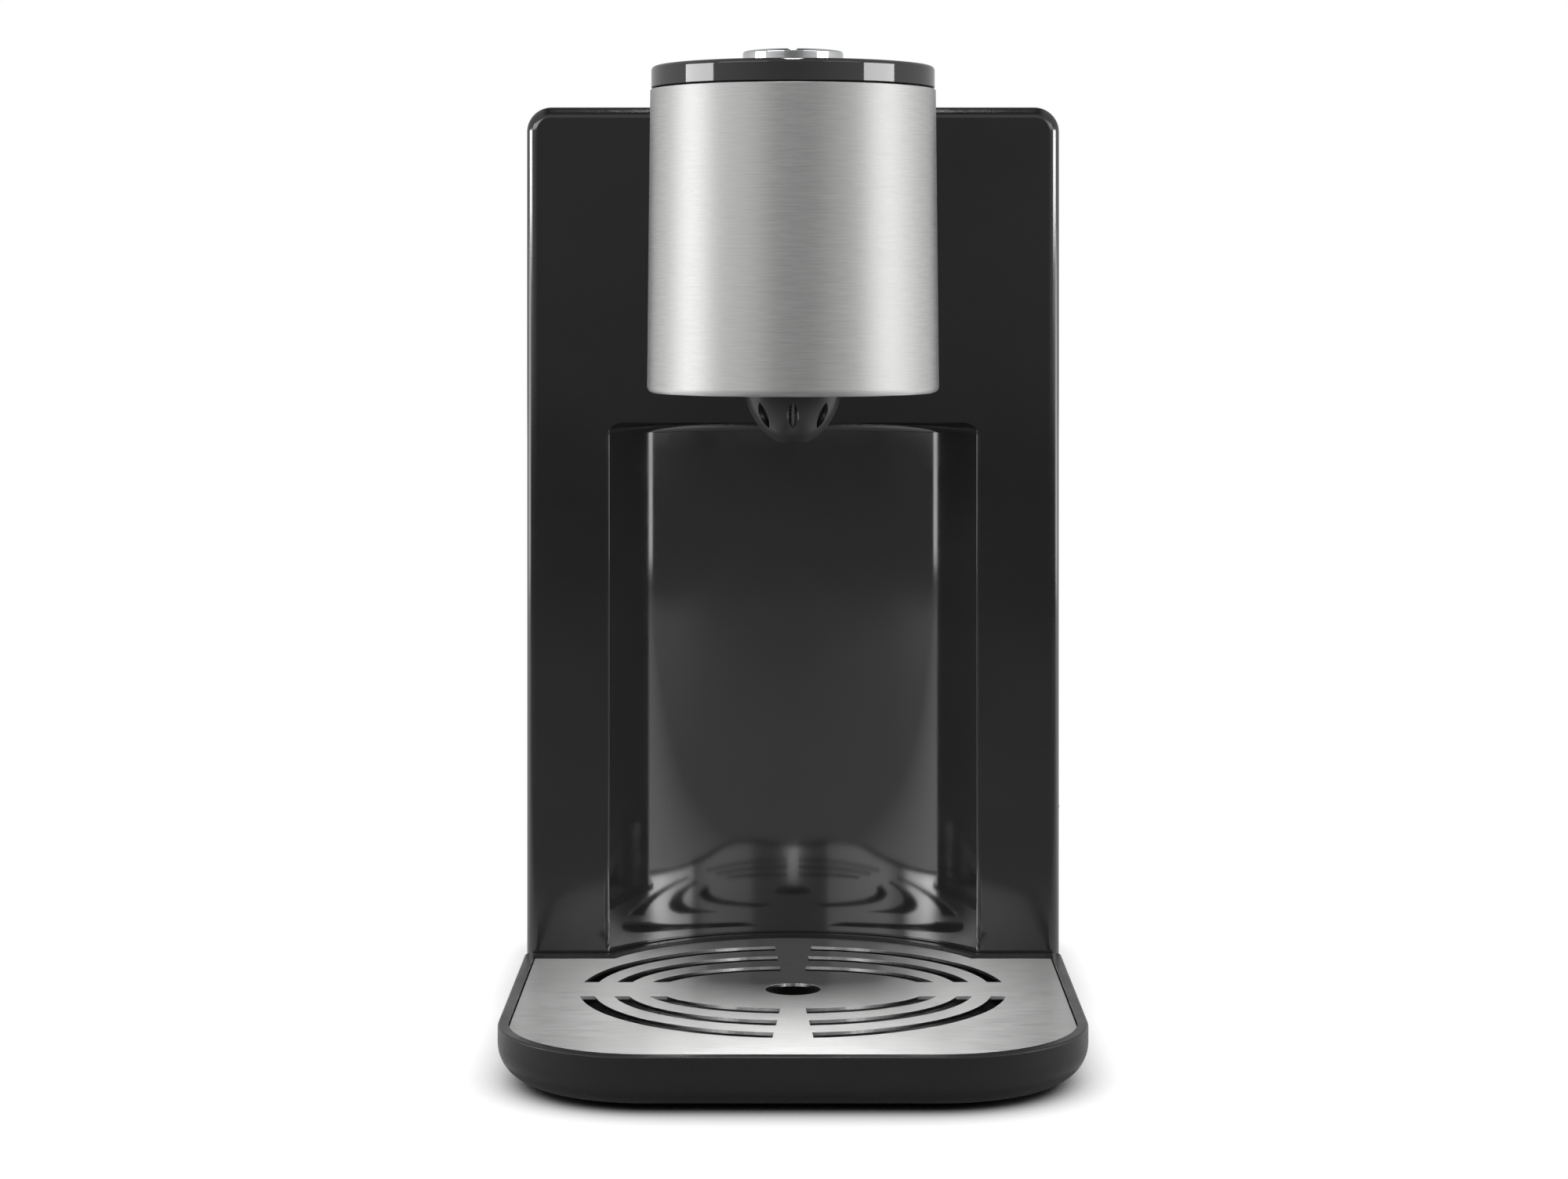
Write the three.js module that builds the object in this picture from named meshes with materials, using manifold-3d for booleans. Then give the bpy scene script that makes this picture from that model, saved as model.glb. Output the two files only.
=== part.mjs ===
// Countertop instant hot water dispenser, in millimetres, +Z up, front towards -Y.
// Every piece is laid out from one reference: x = 0 is the middle of the housing,
// y = 0 the plane of its front panel and z = 0 the table. The group that holds them
// is moved at the end, so that the origin is the bottom centre of the whole part.

import * as THREE from 'three';
import { mergeVertices } from 'three/addons/utils/BufferGeometryUtils.js';
import Module from 'manifold-3d';

const wasm = await Module();
wasm.setup();

// Clearances, shared by every piece
const fit = { seat: 0.3, running: 0.5, overrun: 30 };

// Number of flat sides on round work, and of steps in rounded edges, bowls and hoses
const facetCount = { drum: 36, dial: 24, round: 16, inner: 12, small: 8, fine: 6, springTurn: 8 };
const stepCount = { corner: 3, trayCorner: 7, edge: 3, lip: 3, rim: 2, bowl: 5, slotSide: 3,
  longHose: 18, topHose: 16, shortHose: 10, cable: 14 };

// Housing: front panel, sides and top in one moulding
const body = {
  halfWidth: 86, height: 289.5, wall: 2.5, topCornerRadius: 8, edgeRadius: 3.75,
  rearRoom: 26.3, rearRadius: 22,
};
// Cup alcove: an upright drum let into the panel, its centre in front of the panel
const alcove = { jamb: 26.45, depth: 33.2, drop: 11.4, lipRadius: 2, ceilingRadius: 4 };

const foot = { radius: 7, height: 2.4, proud: 1.5, chamfer: 0.4, sideInset: 15, rearInset: 15,
  frontInset: 16 };
const base = {
  thickness: 3, sideSetback: 16.2, frontSetback: 24, tongueRadius: 30, rearStep: 1.5,
};
const cover = { thickness: 2.5, windowHalfWidth: 36, windowHeight: 28 };
const rail = { sideInset: 31, width: 6, depth: 4, bottomStep: 10, topStep: 34 };
const screw = { threadRadius: 1.5, headRadius: 3, headHeight: 1.8, length: 9,
  driveRadius: 1.3, driveDepth: 1 };
const boss = { radius: 4, length: 12, side: 9, low: 16, high: 18, web: 2 };
const baseScrew = { sideInset: 7, coverInset: 17, rearInset: 9, bossHeight: 12 };

// Drip tray and its grate
const tray = {
  overhang: 0.2, reach: 142, cornerRadius: 45, rearCornerRadius: 2, top: 17,
  rim: 3.1, recess: 1.2, ledge: 2.5, floor: 2, wall: 2.6, edgeRadius: 3, topRound: 0.7,
  underside: 1.8,
};
const grate = {
  thickness: 1, sideMargin: 20.7, frontMargin: 28, pitchWidth: 9.9, pitchDepth: 15.7,
  slotWidth: 4.4, slotDepth: 6.8, stripHalfDepth: 10, bridgeHalfWidth: 2.3, bridgeGrowthShare: 0.056,
  holeRadius: 8.5,
};
const ringCount = 3;

// Head: a brushed sleeve with the spout below and the control ring on top
const head = {
  radius: 44.8, taper: 1, panelGap: 4.2, height: 92.8, rise: 2.4, wall: 1,
  bottomRound: 2, lipWidth: 4.8, windowMargin: 1.5,
};
const neck = {
  halfWidth: 29.5, bottomStep: 6.9, topStep: 5.9, cheek: 7.5, passageFloor: 8,
  passageRoof: 10, screwDepth: 8,
};
const carrier = { wall: 2, deck: 2.5, bushingHole: 5 };
const floorPlate = { thickness: 2 };
const spout = {
  radius: 14.8, depth: 16.2, tipFlat: 0.5, bulgeShare: 1.6, wall: 1.4, flangeWidth: 3.2,
  flangeThickness: 1.5, slotCount: 8, slotWidth: 3.1, slotHeight: 8, slotTopGap: 3.6,
};
const nozzle = { radius: 4, bore: 2.5, flangeRadius: 9, flangeThickness: 2, neckHeight: 14,
  barbRadius: 2.5, barbBore: 1.5, barbLength: 10, tipRise: 1.4 };
const nozzleSeal = { thickness: 1.5, innerRadius: 5, outerRadius: 8 };
const ring = { inset: 0.3, height: 6.6, gap: 0.5, topThickness: 2.5, skirt: 2.5, topRound: 1.2,
  knobGap: 0.6, collar: 1.6 };
const knob = { radius: 15.4, rise: 4.7, deckGap: 1.9, wall: 2, roof: 2.5, topRound: 0.8,
  hubRadius: 5.6, travel: 1.5, hubRise: 0.3 };
const encoder = {
  bodyHalf: 7, bodyHeight: 7, bushingRadius: 4.6, bushingRise: 2, shaftRadius: 3.1,
  plungerRadius: 1.2, boreDepth: 3, shaftLift: 2,
};
const knobSpring = { wire: 0.2, turns: 1.5, radius: 5.3 };
const controlBoard = { wallGap: 4.3, thickness: 1.6, chipHalf: 5, chipHeight: 1.8, ledCount: 8,
  ledInset: 8, ledHalf: 1.5, ledHeight: 1, ledTurnShare: 0.5, rearCut: 22 };
const neckScrew = { inset: 3.7, length: 9 };

// Power switch on the right side
const powerSwitch = {
  behind: 40, height: 51, bezelHalfHeight: 10.5, bezelHalfWidth: 7.5, bezelProud: 1,
  bodyHalfHeight: 9.4, bodyHalfWidth: 6.4, bodyDepth: 16, openingHalfHeight: 8.7,
  openingHalfWidth: 5.6, wellDepth: 8,
};
const rocker = { halfHeight: 8.1, halfWidth: 5.1, proud: 0.9, dip: 0.7, thickness: 4.2,
  pivotDepth: 1.2, tiltDegrees: 6.5 };

// Water tank behind the housing, its lid and its valve
const tank = { depth: 54.7, wall: 2.2, floor: 2.5, frontRadius: 3, frontGap: 0.5,
  collarBore: 11.8, collarWall: 2.2, outletRadius: 9.5 };
const lid = { thickness: 2.2, skirtDepth: 4, skirtThickness: 1.5, skirtGap: 0.6,
  knuckleHalf: 38, earWidth: 6, pinRadius: 0.9 };
const valve = {
  capThickness: 3, capHole: 5, headRadius: 7.4, headThickness: 2, sealThickness: 1.3,
  sealInner: 5.4, lift: 2.4, stemRadius: 2, upperStem: 7.6, travel: 1.5,
};
const valveSpring = { wire: 0.4, turns: 2, radius: 4, length: 3.7 };
const strainer = { radius: 13, height: 14, wall: 1.5, roof: 1.5, hubHole: 2.4, slotCount: 8,
  slotWidth: 2.4, slotMargin: 3, footHole: 1.6, footHoleCircle: 6.2, footHoleCount: 6 };
const dock = {
  room: 13.7, wall: 2.5, deck: 2.5, socketGap: 1.8, socketWall: 2, socketFloor: 2.5,
  pinRadius: 1.8, barbOffset: 8, barbRadius: 2.5, barbBore: 1.5, barbLength: 9,
};
const dockSeal = { height: 2.5, gap: 0.3 };

// Water path inside the housing
const pump = {
  radius: 13, headRadius: 14, height: 58, headHeight: 22, wallGap: 2,
  barbRadius: 2.5, barbBore: 1.5, barbLength: 8, inletRise: 6, outletRise: 15,
};
const pumpMount = { height: 9, wall: 2, floor: 3 };
const meter = {
  radius: 15, depth: 14, wall: 2, coverThickness: 2, height: 112, barbRadius: 2.5, barbBore: 1.5,
  barbLength: 8, sideGap: 2.5, impellerGap: 1, impellerHub: 3, bladeCount: 6, bladeThickness: 1.2,
  axleRadius: 1,
};
const heater = {
  radius: 20, capRadius: 21.5, capLength: 8, halfLength: 60, rearInset: 24, drop: 53.5,
  barbRadius: 2.5, barbBore: 1.5, barbLength: 8, inletInset: 7, outletInset: 16,
};
const strap = { x: 30, width: 10, thickness: 1.5, tabWidth: 8 };
const fuse = { radius: 3, halfLength: 9, x: 10, leadRadius: 0.6, leadReach: 12 };
const hose = { radius: 4, socketRadius: 2.8, socketDepth: 6, lead: 7, neckShare: 0.33 };
const board = {
  meterGap: 6, bottom: 62, top: 152, thickness: 1.6, standOff: 4.4, standRadius: 3,
  standInset: 6,
};
const relay = { halfWidth: 8, height: 14, depth: 12 };
const capacitor = { radius: 6, depth: 14 };
const transformer = { halfWidth: 13, height: 22, depth: 15 };
const cable = { radius: 1.6, lead: 5 };
const grommet = { radius: 7, flangeRadius: 9.5, flange: 1.2, bore: 3.6, sideInset: 31,
  height: 22 };

// Places that several pieces share, each from the sizes of the pieces that meet there
const baseTop = foot.proud + base.thickness;
const shellBottom = baseTop + fit.seat;
const bodyDepth = alcove.depth + body.wall + body.rearRoom;
const coverFront = bodyDepth + fit.seat;
const coverBack = coverFront + cover.thickness;

const headAxis = head.radius + head.panelGap;
const headTop = body.height + head.rise;
const headUnderside = headTop - head.height;
const headRadiusTop = head.radius - head.taper;
const ringBottom = headTop + ring.gap;
const ringTop = ringBottom + ring.height;
const ringRadius = headRadiusTop - ring.inset;
const deckTop = ringBottom - fit.seat;
const deckBottom = deckTop - carrier.deck;
const neckBottom = headUnderside + neck.bottomStep;
const neckTop = headTop - neck.topStep;
const passageHalfWidth = neck.halfWidth - neck.cheek;
const passageBottom = neckBottom + neck.passageFloor;
const passageTop = neckTop - neck.passageRoof;
const neckScrewX = neck.halfWidth - neckScrew.inset;

// The drum of the alcove runs through both jambs and its own depth.
const openingHalfWidth = body.halfWidth - alcove.jamb;
const alcoveRadius = (openingHalfWidth ** 2 + alcove.depth ** 2) / (2 * alcove.depth);
const alcoveCentre = alcoveRadius - alcove.depth;
const alcoveTop = headUnderside - alcove.drop;

const trayHalfWidth = body.halfWidth + tray.overhang;
const tongueHalfWidth = trayHalfWidth - base.sideSetback;
const tongueReach = tray.reach - base.frontSetback;
const grateTop = tray.top - tray.recess;
const trayFloor = baseTop + fit.seat;
const ringHalfWidth = trayHalfWidth - grate.sideMargin;
const ringHalfDepth = tray.reach - headAxis - grate.frontMargin;

// The tank's collar holds the valve, and the dock holds the collar with a hose below it.
const tankFront = coverBack + tank.frontGap;
const rearDepth = tankFront + tank.depth;
const tankMiddle = (tankFront + rearDepth) / 2;
const collarRadius = tank.collarBore + tank.collarWall;
const collarDepth = valve.capThickness + valve.lift + valve.sealThickness + fit.seat
  + valve.headThickness + fit.seat + valveSpring.length + valve.travel - tank.floor;
const dockTop = shellBottom + dock.room + dock.barbLength + dock.socketFloor + collarDepth;
const dockRear = rearDepth - base.rearStep;
const tankBottom = dockTop + fit.seat;
const tankTop = body.height - lid.thickness - fit.seat;
const railOffset = body.halfWidth - rail.sideInset;
const grommetX = body.halfWidth - grommet.sideInset;

const heaterBehind = bodyDepth - heater.rearInset;
const heaterHeight = body.height - heater.drop;
const meterX = body.halfWidth - body.wall - meter.sideGap - meter.radius;
const boardHalfWidth = meterX - meter.radius - board.meterGap;

const quarterTurn = Math.PI / 2;
const halfTurn = Math.PI;
const fullTurn = 2 * Math.PI;

// Solids from three.js geometries

// A closed geometry as a solid: vertices welded, flat triangles dropped, faces turned outwards.
function solidOf(geometry) {
  const bare = new THREE.BufferGeometry();
  bare.setAttribute('position', geometry.getAttribute('position').clone());
  bare.setIndex(geometry.index ? geometry.index.clone() : null);
  const welded = mergeVertices(bare);
  const points = welded.getAttribute('position').array;
  const index = welded.index.array;
  const triangles = [];
  for (let i = 0; i < index.length; i += 3) {
    const [a, b, c] = index.slice(i, i + 3);
    if (a !== b && b !== c && c !== a) {
      triangles.push(a, b, c);
    }
  }
  if (signedVolume(points, triangles) < 0) {
    triangles.reverse();
  }
  return new wasm.Manifold(new wasm.Mesh({
    numProp: 3,
    vertProperties: new Float32Array(points),
    triVerts: new Uint32Array(triangles),
  }));
}

function signedVolume(points, triangles) {
  const corner = (i) => new THREE.Vector3().fromArray(points, triangles[i] * 3);
  let sum = 0;
  for (let i = 0; i < triangles.length; i += 3) {
    sum += corner(i).dot(corner(i + 1).cross(corner(i + 2)));
  }
  return sum;
}

function geometryOf(solid) {
  const mesh = solid.getMesh();
  const geometry = new THREE.BufferGeometry();
  geometry.setAttribute('position', new THREE.BufferAttribute(new Float32Array(mesh.vertProperties), 3));
  geometry.setIndex(new THREE.BufferAttribute(new Uint32Array(mesh.triVerts), 1));
  geometry.computeVertexNormals();
  return geometry;
}

const join = (first, ...others) => others.reduce((sum, other) => sum.add(other), first);
const cut = (first, ...others) => others.reduce((rest, other) => rest.subtract(other), first);

// Points on an arc, from one angle to another
function arc(x, y, radius, from, to, count) {
  return Array.from({ length: count + 1 }, (_, i) => {
    const angle = from + (to - from) * i / count;
    return new THREE.Vector2(x + radius * Math.cos(angle), y + radius * Math.sin(angle));
  });
}

const circle = (x, y, radius, sides) => arc(x, y, radius, 0, fullTurn, sides).slice(0, sides);

// A rectangle with its own radius at each corner: front left, front right, rear right, rear left
function roundedRectangle(left, right, front, rear, radii) {
  const [a, b, c, d] = radii;
  return [
    ...arc(left + a, front + a, a, halfTurn, halfTurn + quarterTurn, stepCount.corner),
    ...arc(right - b, front + b, b, -quarterTurn, 0, stepCount.corner),
    ...arc(right - c, rear - c, c, 0, quarterTurn, stepCount.corner),
    ...arc(left + d, rear - d, d, quarterTurn, halfTurn, stepCount.corner),
  ];
}

function box(left, right, front, rear, bottom, top) {
  const geometry = new THREE.BoxGeometry(right - left, rear - front, top - bottom);
  geometry.translate((left + right) / 2, (front + rear) / 2, (bottom + top) / 2);
  return solidOf(geometry);
}

// A plan outline raised from one height to another
function extrudeUp(outline, bottom, top) {
  const settings = { depth: top - bottom, bevelEnabled: false };
  const geometry = new THREE.ExtrudeGeometry(new THREE.Shape(outline), settings);
  geometry.translate(0, 0, bottom);
  return solidOf(geometry);
}

// A front-view outline carried from one depth back to another
function extrudeBack(outline, front, rear) {
  const settings = { depth: rear - front, bevelEnabled: false };
  const geometry = new THREE.ExtrudeGeometry(new THREE.Shape(outline), settings);
  geometry.rotateX(quarterTurn);
  geometry.translate(0, rear, 0);
  return solidOf(geometry);
}

// The same outline kept at full size in the middle and rounded off at both ends
function extrudeRounded(outline, length, round, count) {
  return new THREE.ExtrudeGeometry(new THREE.Shape(outline), {
    depth: length - round - round,
    bevelEnabled: true,
    bevelThickness: round,
    bevelSize: round,
    bevelOffset: -round,
    bevelSegments: count,
  }).translate(0, 0, round);
}

// A skin over rings of points, each ring at its own height, closed at both ends
function loft(rings) {
  const count = rings[0].outline.length;
  const points = rings.flatMap(({ outline, height }) => outline.flatMap((p) => [p.x, p.y, height]));
  const faces = [];
  for (let row = 0; row + 1 < rings.length; row += 1) {
    for (let i = 0; i < count; i += 1) {
      const a = row * count + i;
      const b = row * count + (i + 1) % count;
      faces.push(a, b, b + count, a, b + count, a + count);
    }
  }
  const lastRow = (rings.length - 1) * count;
  for (const [a, b, c] of THREE.ShapeUtils.triangulateShape(rings[0].outline, [])) {
    faces.push(c, b, a);
  }
  for (const [a, b, c] of THREE.ShapeUtils.triangulateShape(rings.at(-1).outline, [])) {
    faces.push(lastRow + a, lastRow + b, lastRow + c);
  }
  const geometry = new THREE.BufferGeometry();
  geometry.setAttribute('position', new THREE.BufferAttribute(new Float32Array(points), 3));
  geometry.setIndex(faces);
  return solidOf(geometry);
}

// A profile of [radius, height] pairs turned about an upright axis
function revolve(profile, x, y, sides) {
  const geometry = new THREE.LatheGeometry(profile.map(([r, z]) => new THREE.Vector2(r, z)), sides);
  geometry.rotateX(quarterTurn);
  geometry.translate(x, y, 0);
  return solidOf(geometry);
}

function rod(x, y, radius, bottom, top, sides) {
  return revolve([[0, bottom], [radius, bottom], [radius, top], [0, top]], x, y, sides);
}

function pipe(x, y, inner, outer, bottom, top, sides) {
  const profile = [[inner, bottom], [outer, bottom], [outer, top], [inner, top], [inner, bottom]];
  return revolve(profile, x, y, sides);
}

// A round bar between two points in any direction
function bar(from, to, radius, sides) {
  const along = to.clone().sub(from);
  const geometry = new THREE.CylinderGeometry(radius, radius, along.length(), sides);
  geometry.translate(0, along.length() / 2, 0);
  const turn = new THREE.Quaternion().setFromUnitVectors(new THREE.Vector3(0, 1, 0), along.normalize());
  geometry.applyQuaternion(turn);
  geometry.translate(from.x, from.y, from.z);
  return solidOf(geometry);
}

// A quarter round that turns from the upright to the level, as pairs of [inset, rise] on a profile
function quarterRound(radius, count) {
  return Array.from({ length: count + 1 }, (_, i) => {
    const angle = quarterTurn * i / count;
    return { inset: radius * (1 - Math.cos(angle)), rise: radius * Math.sin(angle) };
  });
}

// A tube of round section along a smooth curve through the points
function tubeThrough(points, radius, count, sides) {
  const section = new THREE.Shape(circle(0, 0, radius, sides));
  const path = new THREE.CatmullRomCurve3(points, false, 'centripetal');
  const settings = { steps: count, extrudePath: path, bevelEnabled: false };
  return solidOf(new THREE.ExtrudeGeometry(section, settings));
}

// A port is a place on a piece, with the direction and the length of its barb.
const port = (x, y, z, direction, length) => ({ at: new THREE.Vector3(x, y, z), direction, length });
const towards = {
  front: new THREE.Vector3(0, -1, 0),
  rear: new THREE.Vector3(0, 1, 0),
  up: new THREE.Vector3(0, 0, 1),
  down: new THREE.Vector3(0, 0, -1),
};
const beyond = (p, distance) => p.at.clone().addScaledVector(p.direction, distance);

// A barb grows out of its piece for its whole length.
const barb = (p, radius) => bar(beyond(p, -hose.lead / 2), beyond(p, p.length), radius, facetCount.small);

// A hose between two ports. It is pushed over both barbs, with a socket at each end.
function hoseBetween(start, end, waypoints, count) {
  const points = [
    beyond(start, start.length - hose.socketDepth), beyond(start, start.length + hose.lead),
    ...waypoints,
    beyond(end, end.length + hose.lead), beyond(end, end.length - hose.socketDepth),
  ];
  const tube = tubeThrough(points, hose.radius, count, facetCount.small);
  const sockets = [start, end].map((p) => bar(
    beyond(p, -fit.running), beyond(p, p.length + fit.running), hose.socketRadius, facetCount.small,
  ));
  return cut(tube, ...sockets);
}

// A wound spring between two heights, its two ends not closed
function coilSpring(x, y, radius, wire, turns, bottom, top) {
  const count = Math.round(turns * facetCount.springTurn);
  const points = Array.from({ length: count + 1 }, (_, i) => {
    const angle = fullTurn * turns * i / count;
    const height = bottom + wire + (top - bottom - wire - wire) * i / count;
    return new THREE.Vector3(x + radius * Math.cos(angle), y + radius * Math.sin(angle), height);
  });
  return tubeThrough(points, wire, count, facetCount.fine);
}

// Housing

const panelOutline = (inset, bottom) => {
  const side = body.halfWidth - inset;
  const top = body.height - inset;
  const round = body.topCornerRadius - inset;
  return [
    new THREE.Vector2(-side, bottom),
    new THREE.Vector2(side, bottom),
    ...arc(side - round, top - round, round, 0, quarterTurn, stepCount.corner),
    ...arc(round - side, top - round, round, quarterTurn, halfTurn, stepCount.corner),
  ];
};

// The hollow of the alcove, with soft lips at the panel and a fillet under the ceiling
function alcoveHollow() {
  const { lipRadius } = alcove;
  const lipX = Math.sqrt((alcoveRadius + lipRadius) ** 2 - (alcoveCentre + lipRadius) ** 2);
  const lipAngle = Math.atan2(alcoveCentre + lipRadius, lipX);
  const outline = [
    new THREE.Vector2(lipX, -alcoveCentre),
    ...arc(lipX, lipRadius, lipRadius, -quarterTurn, lipAngle - halfTurn, stepCount.lip),
    ...arc(0, -alcoveCentre, alcoveRadius, lipAngle, halfTurn - lipAngle, facetCount.round).slice(1, -1),
    ...arc(-lipX, lipRadius, lipRadius, -lipAngle, -quarterTurn, stepCount.lip),
    new THREE.Vector2(-lipX, -alcoveCentre),
  ];
  const height = alcoveTop + fit.overrun;
  const geometry = extrudeRounded(outline, height, alcove.ceilingRadius, stepCount.lip);
  geometry.translate(0, 0, -fit.overrun);
  return solidOf(geometry);
}

function frontHousing() {
  const lowered = shellBottom - fit.overrun;
  const outside = extrudeRounded(panelOutline(0, lowered), bodyDepth + fit.overrun, body.edgeRadius,
    stepCount.edge);
  outside.rotateX(quarterTurn);
  outside.translate(0, bodyDepth + fit.overrun, 0);
  const kept = box(-body.halfWidth - fit.overrun, body.halfWidth + fit.overrun,
    -fit.overrun, bodyDepth, shellBottom, body.height + fit.overrun);
  const wallOfAlcove = rod(0, -alcoveCentre, alcoveRadius + body.wall, lowered,
    alcoveTop + body.wall, facetCount.drum);
  const inside = cut(extrudeBack(panelOutline(body.wall, lowered), body.wall,
    bodyDepth + fit.overrun), wallOfAlcove);
  const window = box(-passageHalfWidth, passageHalfWidth, -fit.overrun, fit.overrun,
    passageBottom, passageTop);
  const switchHole = box(body.halfWidth - body.wall - fit.seat, body.halfWidth + fit.overrun,
    powerSwitch.behind - powerSwitch.bodyHalfWidth - fit.seat,
    powerSwitch.behind + powerSwitch.bodyHalfWidth + fit.seat,
    powerSwitch.height - powerSwitch.bodyHalfHeight - fit.seat,
    powerSwitch.height + powerSwitch.bodyHalfHeight + fit.seat);
  let shell = cut(solidOf(outside).intersect(kept), inside, alcoveHollow(), window, switchHole);
  for (const { x, z } of coverScrewPlaces) {
    shell = cut(join(shell, bossColumn(x, z)), coverScrewHole(x, z));
  }
  for (const { x, y } of baseScrewPlaces.slice(0, 2)) {
    const postTop = shellBottom + baseScrew.bossHeight;
    const post = rod(x, y, boss.radius, shellBottom, postTop, facetCount.small);
    const web = sideWeb(x, y - boss.web / 2, y + boss.web / 2, shellBottom, postTop);
    const hole = rod(x, y, screw.threadRadius + fit.seat, shellBottom - fit.overrun,
      postTop - boss.radius / 2, facetCount.fine);
    shell = cut(join(shell, post, web), hole);
  }
  for (const x of [-neckScrewX, neckScrewX]) {
    shell = cut(shell, bar(new THREE.Vector3(x, -fit.overrun, neckMiddle),
      new THREE.Vector3(x, fit.overrun, neckMiddle), screw.threadRadius + fit.seat, facetCount.fine));
  }
  return shell;
}

const neckMiddle = (neckBottom + neckTop) / 2;

// Screws that hold the rear cover to the housing
const coverScrewPlaces = [-1, 1].flatMap((side) => [
  { x: side * (body.halfWidth - boss.side), z: shellBottom + boss.low },
  { x: side * (body.halfWidth - boss.side), z: body.height - boss.high },
]);

// A web from a boss to the middle of the side wall beside it
function sideWeb(x, front, rear, bottom, top) {
  const wallX = Math.sign(x) * (body.halfWidth - body.wall / 2);
  return box(Math.min(x, wallX), Math.max(x, wallX), front, rear, bottom, top);
}

// A boss on the inside of a side wall, joined to it by a web
function bossColumn(x, z) {
  const start = bodyDepth - boss.length;
  const column = bar(new THREE.Vector3(x, start, z), new THREE.Vector3(x, bodyDepth, z),
    boss.radius, facetCount.small);
  return join(column, sideWeb(x, start, bodyDepth, z - boss.web / 2, z + boss.web / 2));
}

const coverScrewHole = (x, z) => bar(new THREE.Vector3(x, bodyDepth - screw.length, z),
  new THREE.Vector3(x, bodyDepth + fit.overrun, z), screw.threadRadius + fit.seat, facetCount.fine);

// Rear cover with the two rails of the tank and the stands of the power board

function rearCover() {
  const plate = extrudeBack(panelOutline(0, shellBottom), coverFront, coverBack);
  const window = box(-cover.windowHalfWidth, cover.windowHalfWidth, 0, coverBack + fit.overrun,
    0, shellBottom + cover.windowHeight);
  const rails = [-railOffset, railOffset].map((x) => box(x - rail.width / 2, x + rail.width / 2,
    coverBack - cover.thickness / 2, coverBack + rail.depth,
    dockTop + rail.bottomStep, body.height - rail.topStep));
  const stands = boardStands.map(({ x, z }) => bar(
    new THREE.Vector3(x, boardRear + fit.seat, z),
    new THREE.Vector3(x, coverFront + cover.thickness / 2, z), board.standRadius, facetCount.small));
  const holes = coverScrewPlaces.flatMap(({ x, z }) => [
    coverScrewHole(x, z),
    bar(new THREE.Vector3(x, coverBack - screw.headHeight, z),
      new THREE.Vector3(x, coverBack + fit.overrun, z), screw.headRadius + fit.seat, facetCount.small),
  ]);
  return cut(join(plate, ...rails, ...stands), window, ...holes);
}

// Base plate: the footprint of the housing, and a tongue that carries the drip tray

// Screws that come up through the base plate: two into the housing, two into the dock
const baseScrewPlaces = [
  ...[-1, 1].map((side) => ({
    x: side * (body.halfWidth - baseScrew.sideInset), y: bodyDepth - baseScrew.coverInset,
  })),
  ...[-1, 1].map((side) => ({
    x: side * (body.halfWidth - body.rearRadius), y: dockRear - baseScrew.rearInset,
  })),
];

const footPlaces = [
  { side: 'front_left', x: foot.frontInset - tongueHalfWidth, y: foot.frontInset - tongueReach },
  { side: 'front_right', x: tongueHalfWidth - foot.frontInset, y: foot.frontInset - tongueReach },
  { side: 'rear_left', x: foot.sideInset - body.halfWidth, y: coverBack + foot.rearInset },
  { side: 'rear_right', x: body.halfWidth - foot.sideInset, y: coverBack + foot.rearInset },
];

function basePlate() {
  const rear = [body.edgeRadius, body.edgeRadius, body.rearRadius, body.rearRadius];
  const main = extrudeUp(roundedRectangle(-body.halfWidth, body.halfWidth, 0, dockRear, rear),
    foot.proud, baseTop);
  const front = [base.tongueRadius, base.tongueRadius, base.rearStep, base.rearStep];
  const tongue = extrudeUp(roundedRectangle(-tongueHalfWidth, tongueHalfWidth,
    -tongueReach, bodyDepth, front), foot.proud, baseTop);
  const recesses = footPlaces.map(({ x, y }) => rod(x, y, foot.radius + fit.seat,
    -fit.overrun, foot.height + fit.seat, facetCount.small));
  const holes = baseScrewPlaces.flatMap(({ x, y }) => [
    rod(x, y, screw.threadRadius + fit.seat, -fit.overrun, fit.overrun, facetCount.fine),
    rod(x, y, screw.headRadius + fit.seat, -fit.overrun, foot.proud + screw.headHeight, facetCount.small),
  ]);
  return cut(join(main, tongue), ...recesses, ...holes);
}

function rubberFoot(x, y) {
  const { radius, height, chamfer } = foot;
  return revolve([
    [0, 0], [radius - chamfer, 0], [radius, chamfer], [radius, height], [0, height],
  ], x, y, facetCount.small);
}

// A pan-head screw along an axis that starts at its head
function panScrew(headEnd, direction, length) {
  const at = (distance) => headEnd.clone().addScaledVector(direction, distance);
  const headPart = bar(at(0), at(screw.headHeight - fit.seat), screw.headRadius, facetCount.small);
  const thread = bar(at(screw.headHeight / 2), at(length), screw.threadRadius, facetCount.fine);
  const drive = bar(at(-fit.overrun), at(screw.driveDepth), screw.driveRadius, facetCount.fine);
  return cut(join(headPart, thread), drive);
}

// Drip tray

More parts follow.
